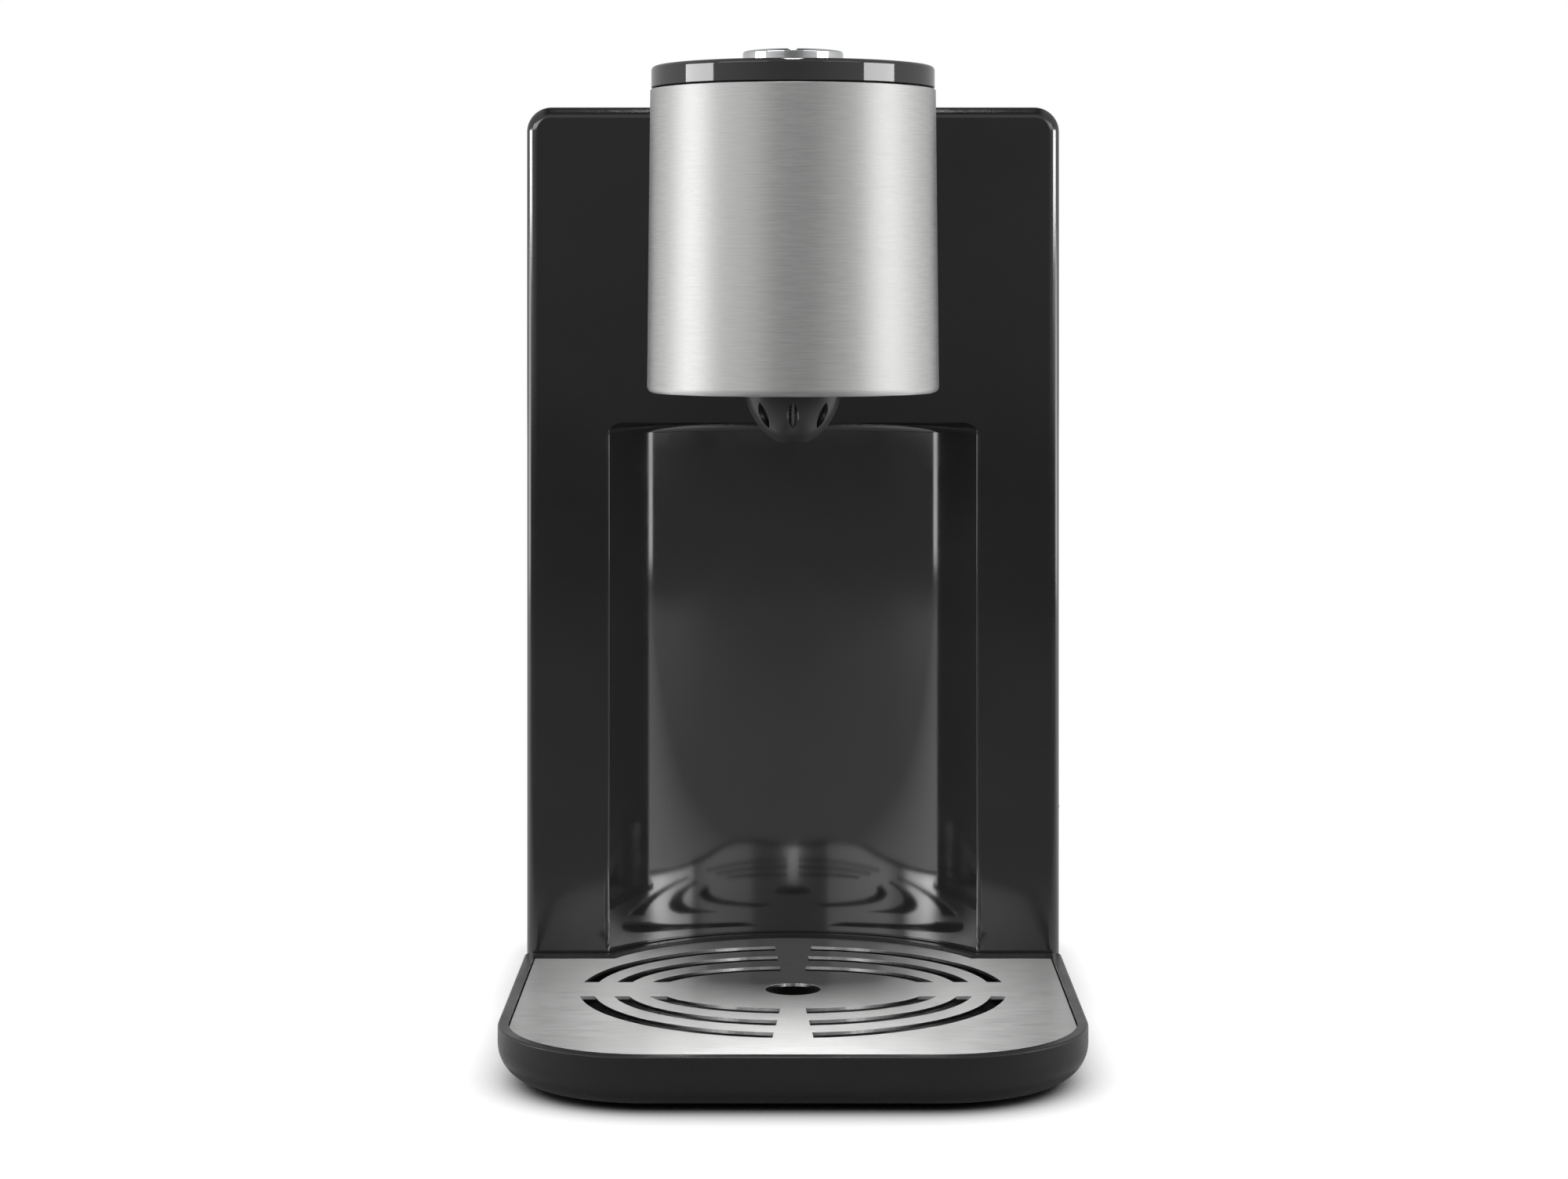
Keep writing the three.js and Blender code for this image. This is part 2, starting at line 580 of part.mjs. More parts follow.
// Plan of the tray, with every edge drawn in by the inset
function trayOutline(inset) {
  const side = trayHalfWidth - inset;
  const front = inset - tray.reach;
  const rear = -fit.seat - inset;
  const round = tray.cornerRadius - inset;
  const rearRound = Math.max(tray.rearCornerRadius - inset, fit.seat);
  const lobe = alcoveRadius - fit.running - inset;
  const lobeAngle = Math.asin((alcoveCentre + rear) / lobe);
  return [
    ...arc(round - side, front + round, round, halfTurn, halfTurn + quarterTurn, stepCount.trayCorner),
    ...arc(side - round, front + round, round, -quarterTurn, 0, stepCount.trayCorner),
    ...arc(side - rearRound, rear - rearRound, rearRound, 0, quarterTurn, stepCount.rim),
    ...arc(0, -alcoveCentre, lobe, lobeAngle, halfTurn - lobeAngle, facetCount.round),
    ...arc(rearRound - side, rear - rearRound, rearRound, quarterTurn, halfTurn, stepCount.rim),
  ];
}

function dripTray() {
  const lower = quarterRound(tray.edgeRadius, stepCount.rim).reverse().map(({ inset, rise }) => ({
    outline: trayOutline(inset), height: tray.underside + tray.edgeRadius - rise,
  }));
  const upper = quarterRound(tray.topRound, stepCount.rim).map(({ inset, rise }) => ({
    outline: trayOutline(inset), height: tray.top - tray.topRound + rise,
  }));
  const ledgeTop = grateTop - grate.thickness - fit.seat;
  const recess = extrudeUp(trayOutline(tray.rim), ledgeTop, tray.top + fit.overrun);
  const basin = extrudeUp(trayOutline(tray.rim + tray.ledge), trayFloor + tray.floor,
    tray.top + fit.overrun);
  const inner = [tray.cornerRadius - tray.wall, tray.cornerRadius - tray.wall,
    tray.rearCornerRadius, tray.rearCornerRadius];
  const under = extrudeUp(roundedRectangle(
    tray.wall - trayHalfWidth, trayHalfWidth - tray.wall, tray.wall - tray.reach,
    alcoveRadius, inner), -fit.overrun, trayFloor);
  return cut(loft([...lower, ...upper]), recess, basin, under);
}

// Grate: a plate with three broken oval rings round the point below the spout

function ovalBand(outerWidth, outerDepth) {
  const oval = (halfWidth, halfDepth) => circle(0, 0, 1, facetCount.drum).map(
    (p) => new THREE.Vector2(p.x * halfWidth, p.y * halfDepth - headAxis));
  const low = grateTop - fit.overrun;
  const high = grateTop + fit.overrun;
  return cut(
    extrudeUp(oval(outerWidth, outerDepth), low, high),
    extrudeUp(oval(outerWidth - grate.slotWidth, outerDepth - grate.slotDepth),
      low - fit.overrun, high + fit.overrun),
  );
}

function dripGrate() {
  const plate = extrudeUp(trayOutline(tray.rim + fit.seat), grateTop - grate.thickness, grateTop);
  const low = grateTop - fit.overrun - fit.overrun;
  const high = grateTop + fit.overrun + fit.overrun;
  const strip = box(-trayHalfWidth, trayHalfWidth, -headAxis - grate.stripHalfDepth,
    -headAxis + grate.stripHalfDepth, low, high);
  const reach = ringHalfDepth + fit.running;
  const wide = grate.bridgeHalfWidth + reach * grate.bridgeGrowthShare;
  const bridge = extrudeUp([
    new THREE.Vector2(-wide, -headAxis - reach),
    new THREE.Vector2(wide, -headAxis - reach),
    new THREE.Vector2(grate.bridgeHalfWidth, -headAxis),
    new THREE.Vector2(wide, -headAxis + reach),
    new THREE.Vector2(-wide, -headAxis + reach),
    new THREE.Vector2(-grate.bridgeHalfWidth, -headAxis),
  ], low, high);
  const bands = Array.from({ length: ringCount }, (_, i) => cut(ovalBand(
    ringHalfWidth - i * grate.pitchWidth,
    ringHalfDepth - i * grate.pitchDepth,
  ), strip, bridge));
  return cut(plate, ...bands, rod(0, -headAxis, grate.holeRadius, low, high, facetCount.round));
}

// Head

const sleeveRadius = (height) => {
  const share = (height - headUnderside) / (headTop - headUnderside);
  return head.radius + (headRadiusTop - head.radius) * share;
};

function headSleeve() {
  const { wall, bottomRound } = head;
  const lipRadius = head.radius - head.lipWidth;
  const turned = quarterRound(bottomRound, stepCount.edge).reverse().map(
    ({ inset, rise }) => [head.radius - inset, headUnderside + bottomRound - rise]);
  const tube = revolve([
    [lipRadius, headUnderside], ...turned, [headRadiusTop, headTop], [headRadiusTop - wall, headTop],
    [sleeveRadius(headUnderside + bottomRound) - wall, headUnderside + bottomRound],
    [sleeveRadius(headUnderside) - bottomRound, headUnderside + wall], [lipRadius, headUnderside + wall],
    [lipRadius, headUnderside],
  ], 0, -headAxis, facetCount.drum);
  const half = neck.halfWidth + head.windowMargin;
  const window = box(-half, half, -headAxis, fit.overrun,
    neckBottom - head.windowMargin, neckTop + head.windowMargin);
  return cut(tube, window);
}

const carrierBottom = headUnderside + head.wall + fit.seat + floorPlate.thickness + fit.seat;

function headCarrier() {
  const outer = (height) => sleeveRadius(height) - head.wall - fit.running;
  const drum = revolve([
    [0, carrierBottom], [outer(carrierBottom), carrierBottom], [outer(deckTop), deckTop], [0, deckTop],
  ], 0, -headAxis, facetCount.drum);
  const block = box(-neck.halfWidth, neck.halfWidth, -headAxis, -fit.seat, neckBottom, neckTop);
  const hollow = revolve([
    [0, carrierBottom - fit.overrun], [outer(carrierBottom) - carrier.wall, carrierBottom - fit.overrun],
    [outer(deckBottom) - carrier.wall, deckBottom], [0, deckBottom],
  ], 0, -headAxis, facetCount.drum);
  const passage = box(-passageHalfWidth, passageHalfWidth, -headAxis, fit.overrun,
    passageBottom, passageTop);
  const bushing = rod(0, -headAxis, carrier.bushingHole, deckBottom - fit.overrun,
    deckTop + fit.overrun, facetCount.round);
  const holes = [-neckScrewX, neckScrewX].map((x) => bar(
    new THREE.Vector3(x, -neck.screwDepth, neckMiddle), new THREE.Vector3(x, fit.overrun, neckMiddle),
    screw.threadRadius + fit.seat, facetCount.fine));
  const boardPosts = boardPostPlaces.map(({ x, y }) => rod(x, y, board.standRadius,
    controlBoardTop + fit.seat, deckTop - carrier.deck / 2, facetCount.small));
  const openBlock = cut(block, hollow);
  return cut(join(cut(drum, hollow), openBlock, ...boardPosts), passage, bushing, ...holes);
}

function headBottom() {
  const bottom = headUnderside + head.wall + fit.seat;
  return pipe(0, -headAxis, spout.radius + fit.running,
    sleeveRadius(bottom) - head.bottomRound - fit.seat, bottom, bottom + floorPlate.thickness,
    facetCount.drum);
}

const spoutFlangeBottom = headUnderside + head.wall + fit.seat + floorPlate.thickness + fit.seat;
const spoutFlangeTop = spoutFlangeBottom + spout.flangeThickness;
const spoutFlangeRadius = spout.radius + spout.flangeWidth;
const nozzleSealTop = spoutFlangeTop + fit.seat + nozzleSeal.thickness;
const nozzleFlangeTop = nozzleSealTop + fit.seat + nozzle.flangeThickness;

// Radius of the bowl at a drop below the head, drawn in towards a flat tip
const bowlRadius = (radius, drop) => radius * Math.sqrt(1 - (drop / spout.depth) ** spout.bulgeShare);

function spoutShroud() {
  const deepest = spout.depth - spout.tipFlat;
  const drops = Array.from({ length: stepCount.bowl + 1 }, (_, i) => deepest * (1 - i / stepCount.bowl));
  const outside = drops.map((drop) => [bowlRadius(spout.radius, drop), headUnderside - drop]);
  const inside = drops.map((drop) => [
    Math.max(bowlRadius(spout.radius, drop) - spout.wall, 0),
    headUnderside - drop + spout.wall * drop / deepest,
  ]).reverse();
  const bowl = revolve([
    [0, headUnderside - deepest], ...outside, [spout.radius, spoutFlangeBottom],
    [spoutFlangeRadius, spoutFlangeBottom], [spoutFlangeRadius, spoutFlangeTop],
    [spout.radius - spout.wall, spoutFlangeTop], ...inside,
    [0, headUnderside - deepest + spout.wall],
  ], 0, -headAxis, facetCount.round);
  const outlet = rod(0, -headAxis, nozzle.radius + fit.running, headUnderside - spout.depth - fit.overrun,
    headUnderside, facetCount.round);
  const slots = Array.from({ length: spout.slotCount },
    (_, i) => almondSlot(fullTurn * i / spout.slotCount));
  return cut(bowl, outlet, ...slots);
}

// One almond-shaped slot through the wall of the bowl, at a turn about the spout's axis
function almondSlot(turn) {
  const halfHeight = spout.slotHeight / 2;
  const halfWidth = spout.slotWidth / 2;
  const sagitta = (halfHeight ** 2 - halfWidth ** 2) / (2 * halfWidth);
  const sweep = Math.atan2(halfHeight, sagitta);
  const middle = headUnderside - spout.slotTopGap - halfHeight;
  const outline = [
    ...arc(-sagitta, middle, sagitta + halfWidth, -sweep, sweep, stepCount.slotSide),
    ...arc(sagitta, middle, sagitta + halfWidth, halfTurn - sweep, halfTurn + sweep, stepCount.slotSide)
      .slice(1, -1),
  ];
  const settings = { depth: spout.radius, bevelEnabled: false };
  const geometry = new THREE.ExtrudeGeometry(new THREE.Shape(outline), settings);
  geometry.rotateX(quarterTurn);
  geometry.translate(0, -spout.radius / 2, 0);
  geometry.rotateZ(turn);
  geometry.translate(0, -headAxis, 0);
  return solidOf(geometry);
}

const nozzleTip = headUnderside - spout.depth + spout.tipFlat + nozzle.tipRise;
const nozzlePort = port(0, -headAxis, nozzleFlangeTop + nozzle.neckHeight, towards.up,
  nozzle.barbLength);

function outletNozzle() {
  const { radius, flangeRadius, neckHeight } = nozzle;
  const stem = revolve([
    [0, nozzleTip], [radius, nozzleTip], [radius, nozzleFlangeTop - nozzle.flangeThickness],
    [flangeRadius, nozzleFlangeTop - nozzle.flangeThickness], [flangeRadius, nozzleFlangeTop],
    [radius, nozzleFlangeTop], [radius, nozzleFlangeTop + neckHeight],
    [0, nozzleFlangeTop + neckHeight],
  ], 0, -headAxis, facetCount.round);
  const withBarb = join(stem, barb(nozzlePort, nozzle.barbRadius));
  const waterway = rod(0, -headAxis, nozzle.barbBore, nozzleTip - fit.overrun,
    nozzleFlangeTop + fit.overrun + fit.overrun, facetCount.fine);
  const outlet = rod(0, -headAxis, nozzle.bore, nozzleTip - fit.overrun, nozzleFlangeTop, facetCount.small);
  return cut(withBarb, waterway, outlet);
}

// Control ring, knob and encoder, all on the head's axis

function controlRing() {
  const inner = knob.radius + ring.knobGap;
  const top = quarterRound(ring.topRound, stepCount.rim).map(
    ({ inset, rise }) => [ringRadius - inset, ringTop - ring.topRound + rise]);
  return revolve([
    [ringRadius, ringBottom], ...top, [inner, ringTop], [inner, ringBottom],
    [inner + ring.collar, ringBottom], [inner + ring.collar, ringTop - ring.topThickness],
    [ringRadius - ring.skirt, ringTop - ring.topThickness], [ringRadius - ring.skirt, ringBottom],
    [ringRadius, ringBottom],
  ], 0, -headAxis, facetCount.drum);
}

const knobTop = ringTop + knob.rise;
const knobBottom = deckTop + knob.travel + knob.deckGap;
const shaftTop = knobTop - knob.roof - fit.seat;
const encoderTop = deckBottom - fit.seat;
const encoderBottom = encoderTop - encoder.bodyHeight;
const shaftBottom = encoderBottom + encoder.bodyHeight - encoder.boreDepth;
const hubBottom = knobBottom + knob.hubRise;

function turningKnob() {
  const edge = quarterRound(knob.topRound, stepCount.rim).map(
    ({ inset, rise }) => [knob.radius - inset, knobTop - knob.topRound + rise]);
  const underRoof = knobTop - knob.roof;
  return revolve([
    [knob.radius - knob.wall, knobBottom], [knob.radius, knobBottom], ...edge, [0, knobTop],
    [0, underRoof], [encoder.shaftRadius + fit.seat, underRoof],
    [encoder.shaftRadius + fit.seat, hubBottom], [knob.hubRadius, hubBottom],
    [knob.hubRadius, underRoof], [knob.radius - knob.wall, underRoof],
    [knob.radius - knob.wall, knobBottom],
  ], 0, -headAxis, facetCount.dial);
}

function encoderBody() {
  const half = encoder.bodyHalf;
  const block = box(-half, half, -headAxis - half, -headAxis + half, encoderBottom, encoderTop);
  const bushing = rod(0, -headAxis, encoder.bushingRadius, encoderTop - encoder.bushingRise,
    deckTop + encoder.bushingRise - fit.seat, facetCount.small);
  const bore = rod(0, -headAxis, encoder.shaftRadius + fit.seat,
    shaftBottom - knob.travel - fit.seat, deckTop + fit.overrun, facetCount.small);
  return cut(join(block, bushing), bore);
}

const encoderShaft = () => pipe(0, -headAxis, encoder.plungerRadius + fit.seat, encoder.shaftRadius,
  shaftBottom + encoder.shaftLift, shaftTop - fit.seat, facetCount.small);

// The plunger carries the shaft on its foot and passes the press down.
function encoderPlunger() {
  const footTop = shaftBottom + encoder.shaftLift - fit.seat;
  return revolve([
    [0, shaftBottom], [encoder.shaftRadius, shaftBottom], [encoder.shaftRadius, footTop],
    [encoder.plungerRadius, footTop], [encoder.plungerRadius, shaftTop], [0, shaftTop],
  ], 0, -headAxis, facetCount.small);
}

const controlBoardTop = encoderBottom - fit.seat;
const controlBoardRadius = headRadiusTop - head.wall - fit.running - carrier.wall
  - controlBoard.wallGap;
const boardPostPlaces = [-1, 1].map((side) => ({
  x: side * (controlBoardRadius - board.standInset), y: -headAxis,
}));

function controlCircuit() {
  const bottom = controlBoardTop - controlBoard.thickness;
  const disc = rod(0, -headAxis, controlBoardRadius, bottom, controlBoardTop, facetCount.round);
  const chip = controlBoard.chipHalf;
  const ledRadius = controlBoardRadius - controlBoard.ledInset;
  const parts = [
    box(-chip, chip, -headAxis - chip, -headAxis + chip, bottom - controlBoard.chipHeight,
      bottom + controlBoard.thickness / 2),
    ...Array.from({ length: controlBoard.ledCount }, (_, i) => {
      const angle = fullTurn * (i + controlBoard.ledTurnShare) / controlBoard.ledCount;
      const x = ledRadius * Math.cos(angle);
      const y = -headAxis + ledRadius * Math.sin(angle);
      const half = controlBoard.ledHalf;
      return box(x - half, x + half, y - half, y + half, bottom + controlBoard.thickness / 2,
        controlBoardTop + controlBoard.ledHeight);
    }),
  ];
  const rearCut = box(-controlBoardRadius, controlBoardRadius, controlBoard.rearCut - headAxis,
    fit.overrun, bottom - fit.overrun, controlBoardTop + fit.overrun);
  return cut(join(disc, ...parts), rearCut);
}

// Power switch

function switchBody() {
  const { behind, height } = powerSwitch;
  const face = body.halfWidth + powerSwitch.bezelProud;
  const bezel = box(body.halfWidth + fit.seat, face, behind - powerSwitch.bezelHalfWidth,
    behind + powerSwitch.bezelHalfWidth, height - powerSwitch.bezelHalfHeight,
    height + powerSwitch.bezelHalfHeight);
  const block = box(body.halfWidth - powerSwitch.bodyDepth, face - powerSwitch.bezelProud / 2,
    behind - powerSwitch.bodyHalfWidth, behind + powerSwitch.bodyHalfWidth,
    height - powerSwitch.bodyHalfHeight, height + powerSwitch.bodyHalfHeight);
  const well = box(face - powerSwitch.wellDepth, face + fit.overrun,
    behind - powerSwitch.openingHalfWidth, behind + powerSwitch.openingHalfWidth,
    height - powerSwitch.openingHalfHeight, height + powerSwitch.openingHalfHeight);
  return cut(join(bezel, block), well);
}

const rockerPivotX = body.halfWidth + powerSwitch.bezelProud - rocker.pivotDepth;
const rockerTilt = THREE.MathUtils.degToRad(rocker.tiltDegrees);

// Rocker cap, drawn level with its dished face outwards and then tipped to its off position
function rockerCap() {
  const { halfHeight, halfWidth, proud, dip, thickness, pivotDepth } = rocker;
  const outline = [
    new THREE.Vector2(-thickness + pivotDepth, -halfHeight),
    new THREE.Vector2(pivotDepth + proud, -halfHeight),
    new THREE.Vector2(pivotDepth + proud - dip, 0),
    new THREE.Vector2(pivotDepth + proud, halfHeight),
    new THREE.Vector2(-thickness + pivotDepth, halfHeight),
  ];
  const settings = { depth: halfWidth + halfWidth, bevelEnabled: false };
  const geometry = new THREE.ExtrudeGeometry(new THREE.Shape(outline), settings);
  geometry.rotateX(quarterTurn);
  geometry.translate(0, halfWidth, 0);
  geometry.rotateY(rockerTilt);
  geometry.translate(rockerPivotX, powerSwitch.behind, powerSwitch.height);
  return solidOf(geometry);
}

// How far the raised end of the rocker stands out from the middle plane
const rockerReach = rockerPivotX + (rocker.pivotDepth + rocker.proud) * Math.cos(rockerTilt)
  + rocker.halfHeight * Math.sin(rockerTilt);

// Water tank

const tankPlan = (inset) => roundedRectangle(inset - body.halfWidth, body.halfWidth - inset,
  tankFront + inset, rearDepth - inset, [
    Math.max(tank.frontRadius - inset, fit.seat), Math.max(tank.frontRadius - inset, fit.seat),
    body.rearRadius - inset, body.rearRadius - inset,
  ]);

const hinge = { y: tankFront + lid.thickness, z: body.height - lid.thickness };
const outletMiddle = { x: 0, y: tankMiddle };

function waterTank() {
  const { x, y } = outletMiddle;
  const outside = extrudeUp(tankPlan(0), tankBottom, tankTop);
  const grooveTop = body.height - rail.topStep + fit.running;
  const groove = (railX, grow, low) => box(railX - rail.width / 2 - fit.running - grow,
    railX + rail.width / 2 + fit.running + grow, coverBack - fit.overrun,
    coverBack + rail.depth + fit.running + grow, low, grooveTop + grow);
  const grooves = [-railOffset, railOffset].map((railX) => groove(railX, 0, tankBottom - fit.overrun));
  const grooveWalls = [-railOffset, railOffset].map((railX) => groove(railX, tank.wall, tankBottom));
  const inside = cut(extrudeUp(tankPlan(tank.wall), tankBottom + tank.floor, tankTop + fit.overrun),
    ...grooveWalls);
  const collar = rod(x, y, collarRadius, tankBottom - collarDepth, tankBottom + tank.floor / 2,
    facetCount.inner);
  const bore = rod(x, y, tank.collarBore, tankBottom - collarDepth - fit.overrun, tankBottom,
    facetCount.inner);
  const outlet = rod(x, y, tank.outletRadius, tankBottom - fit.overrun, tankBottom + fit.overrun,
    facetCount.inner);
  const knuckleNotch = box(-lid.knuckleHalf - fit.running, lid.knuckleHalf + fit.running,
    tankFront - fit.overrun, hinge.y + lid.thickness + fit.running,
    hinge.z - lid.thickness - fit.running, tankTop + fit.overrun);
  const ears = [-1, 1].flatMap((side) => {
    const inner = side * (lid.knuckleHalf + fit.running);
    const outer = side * (lid.knuckleHalf + fit.running + lid.earWidth);
    return [
      bar(new THREE.Vector3(inner, hinge.y, hinge.z), new THREE.Vector3(outer, hinge.y, hinge.z),
        lid.thickness, facetCount.small),
      box(Math.min(inner, outer), Math.max(inner, outer), tankFront, hinge.y + lid.thickness / 2,
        hinge.z - lid.skirtDepth, hinge.z),
    ];
  });
  const reach = lid.knuckleHalf + lid.earWidth + fit.overrun;
  const pinBore = bar(new THREE.Vector3(-reach, hinge.y, hinge.z),
    new THREE.Vector3(reach, hinge.y, hinge.z), lid.pinRadius + fit.seat, facetCount.fine);
  const shell = cut(join(cut(outside, inside), collar), bore, outlet, knuckleNotch, ...grooves);
  return cut(join(shell, ...ears), pinBore);
}

function tankLid() {
  const plate = extrudeUp(tankPlan(0), hinge.z, body.height);
  const inset = tank.wall + lid.skirtGap;
  const skirt = cut(
    extrudeUp(tankPlan(inset), hinge.z - lid.skirtDepth, hinge.z + lid.thickness / 2),
    extrudeUp(tankPlan(inset + lid.skirtThickness), hinge.z - fit.overrun, hinge.z));
  const frontStrip = box(-body.halfWidth - fit.overrun, body.halfWidth + fit.overrun,
    tankFront - fit.overrun, hinge.y, hinge.z - fit.overrun, body.height + fit.overrun);
  const skirtFront = box(-body.halfWidth - fit.overrun, body.halfWidth + fit.overrun,
    tankFront - fit.overrun, tankFront + rail.depth + tank.wall + tank.wall + lid.skirtGap,
    hinge.z - fit.overrun, hinge.z);
  const earGaps = [-1, 1].map((side) => {
    const inner = side * lid.knuckleHalf;
    const outer = side * (lid.knuckleHalf + lid.earWidth + fit.running + fit.running);
    return box(Math.min(inner, outer), Math.max(inner, outer), tankFront - fit.overrun,
      hinge.y + lid.thickness + fit.running, hinge.z - fit.overrun, body.height + fit.overrun);
  });
  const knuckle = bar(new THREE.Vector3(-lid.knuckleHalf, hinge.y, hinge.z),
    new THREE.Vector3(lid.knuckleHalf, hinge.y, hinge.z), lid.thickness, facetCount.small);
  const pinBore = bar(new THREE.Vector3(-body.halfWidth, hinge.y, hinge.z),
    new THREE.Vector3(body.halfWidth, hinge.y, hinge.z), lid.pinRadius + fit.seat, facetCount.fine);
  const cover = cut(join(plate, cut(skirt, skirtFront)), frontStrip, ...earGaps);
  return cut(join(cover, knuckle), pinBore);
}

const pinHalf = lid.knuckleHalf + fit.running + lid.earWidth;
const lidPin = () => bar(new THREE.Vector3(-pinHalf, hinge.y, hinge.z),
  new THREE.Vector3(pinHalf, hinge.y, hinge.z), lid.pinRadius, facetCount.fine);

// Valve in the collar of the tank. The pin of the dock holds it open while the tank stands there.

const collarBottom = tankBottom - collarDepth;
const capTop = collarBottom + valve.capThickness;
const sealBottom = capTop + valve.lift;
const plungerHead = sealBottom + valve.sealThickness + fit.seat;
const plungerTop = plungerHead + valve.headThickness;
const strainerBottom = tankBottom + tank.floor + fit.seat;

function valveCap() {
  return pipe(outletMiddle.x, outletMiddle.y, valve.capHole, tank.collarBore - fit.seat,
    collarBottom, capTop, facetCount.inner);
}

function valvePlunger() {
  const { headRadius, stemRadius } = valve;
  return revolve([
    [0, dockPinTop + fit.seat], [stemRadius, dockPinTop + fit.seat], [stemRadius, plungerHead],
    [headRadius, plungerHead], [headRadius, plungerTop], [stemRadius, plungerTop],
    [stemRadius, plungerTop + valve.upperStem], [0, plungerTop + valve.upperStem],
  ], outletMiddle.x, outletMiddle.y, facetCount.inner);
}

const valveRing = () => pipe(outletMiddle.x, outletMiddle.y, valve.sealInner, valve.headRadius,
  sealBottom, plungerHead - fit.seat, facetCount.inner);

const valveCoil = () => coilSpring(outletMiddle.x, outletMiddle.y, valveSpring.radius,
  valveSpring.wire, valveSpring.turns, plungerTop + fit.seat,
  strainerBottom - fit.seat - valve.travel);

function tankStrainer() {
  const { x, y } = outletMiddle;
  const top = strainerBottom + strainer.height;
  const shell = cut(rod(x, y, strainer.radius, strainerBottom, top, facetCount.inner),
    rod(x, y, strainer.radius - strainer.wall, strainerBottom + strainer.wall, top - strainer.roof,
      facetCount.inner));
  const slots = Array.from({ length: strainer.slotCount }, (_, i) => {
    const geometry = new THREE.BoxGeometry(strainer.radius, strainer.slotWidth,
      strainer.height - strainer.slotMargin - strainer.slotMargin);
    geometry.translate(strainer.radius, 0, (strainerBottom + top) / 2);
    geometry.rotateZ(fullTurn * i / strainer.slotCount);
    geometry.translate(x, y, 0);
    return solidOf(geometry);
  });
  const holes = Array.from({ length: strainer.footHoleCount }, (_, i) => {
    const angle = fullTurn * i / strainer.footHoleCount;
    const holeX = x + strainer.footHoleCircle * Math.cos(angle);
    const holeY = y + strainer.footHoleCircle * Math.sin(angle);
    return rod(holeX, holeY, strainer.footHole, strainerBottom - fit.overrun,
      strainerBottom + strainer.wall + fit.running, facetCount.fine);
  });
  const hub = rod(x, y, strainer.hubHole, strainerBottom - fit.overrun,
    strainerBottom + strainer.wall + fit.running, facetCount.small);
  return cut(shell, hub, ...slots, ...holes);
}

// Dock under the tank, with the socket, the pin that opens the valve and the outlet barb

const socketRadius = collarRadius + dock.socketGap;
const socketFloorTop = collarBottom - fit.seat;
const dockPinTop = socketFloorTop + valve.capThickness;
const dockPort = port(outletMiddle.x + dock.barbOffset, outletMiddle.y,
  socketFloorTop - dock.socketFloor, towards.down, dock.barbLength);

function tankDock() {
  const { x, y } = outletMiddle;
  const plan = (inset) => roundedRectangle(inset - body.halfWidth, body.halfWidth - inset,
    tankFront + inset, dockRear - inset, [
      Math.max(tank.frontRadius - inset, fit.seat), Math.max(tank.frontRadius - inset, fit.seat),
      body.rearRadius - inset, body.rearRadius - inset,
    ]);
  const shell = cut(extrudeUp(plan(0), shellBottom, dockTop),
    extrudeUp(plan(dock.wall), shellBottom - fit.overrun, dockTop - dock.deck));
  const cup = rod(x, y, socketRadius + dock.socketWall, socketFloorTop - dock.socketFloor,
    dockTop - dock.deck / 2, facetCount.inner);
  const posts = baseScrewPlaces.slice(2).map((place) => rod(place.x, place.y, boss.radius,
    shellBottom, dockTop - dock.deck / 2, facetCount.small));
  const well = rod(x, y, socketRadius, socketFloorTop, dockTop + fit.overrun, facetCount.inner);
  const pin = rod(x, y, dock.pinRadius, socketFloorTop - dock.socketFloor / 2, dockPinTop,
    facetCount.small);
  const front = box(-cover.windowHalfWidth, cover.windowHalfWidth, tankFront - fit.overrun,
    tankFront + dock.wall + fit.running, shellBottom - fit.overrun, shellBottom + cover.windowHeight);
  const bore = rod(dockPort.at.x, dockPort.at.y, dock.barbBore, -fit.overrun,
    socketFloorTop + fit.running, facetCount.small);
  const cordHole = bar(new THREE.Vector3(grommetX, dockRear - dock.wall - fit.overrun, grommet.height),
    new THREE.Vector3(grommetX, dockRear + fit.overrun, grommet.height),
    grommet.radius + fit.seat, facetCount.round);
  const threads = baseScrewPlaces.slice(2).map((place) => rod(place.x, place.y,
    screw.threadRadius + fit.seat, shellBottom - fit.overrun, shellBottom + baseScrew.bossHeight,
    facetCount.fine));
  const outlet = cut(barb(dockPort, dock.barbRadius), well);
  const deck = cut(join(shell, cup, ...posts), well);
  return cut(join(deck, pin, outlet), front, bore, cordHole, ...threads);
}

const dockLip = () => pipe(outletMiddle.x, outletMiddle.y, collarRadius + dockSeal.gap,
  socketRadius - dockSeal.gap, socketFloorTop + fit.seat, socketFloorTop + fit.seat + dockSeal.height,
  facetCount.inner);

function cordGrommet() {
  const outer = dockRear + grommet.flange + fit.seat;
  const length = dock.wall + fit.seat;
  const flange = bar(new THREE.Vector3(grommetX, dockRear + fit.seat, grommet.height),
    new THREE.Vector3(grommetX, outer, grommet.height), grommet.flangeRadius, facetCount.round);
  const sleeve = bar(new THREE.Vector3(grommetX, dockRear - length, grommet.height),
    new THREE.Vector3(grommetX, outer, grommet.height), grommet.radius, facetCount.round);
  const bore = bar(new THREE.Vector3(grommetX, dockRear - fit.overrun, grommet.height),
    new THREE.Vector3(grommetX, dockRear + fit.overrun, grommet.height), grommet.bore, facetCount.small);
  return cut(join(flange, sleeve), bore);
}

// Pump, flow meter and heater

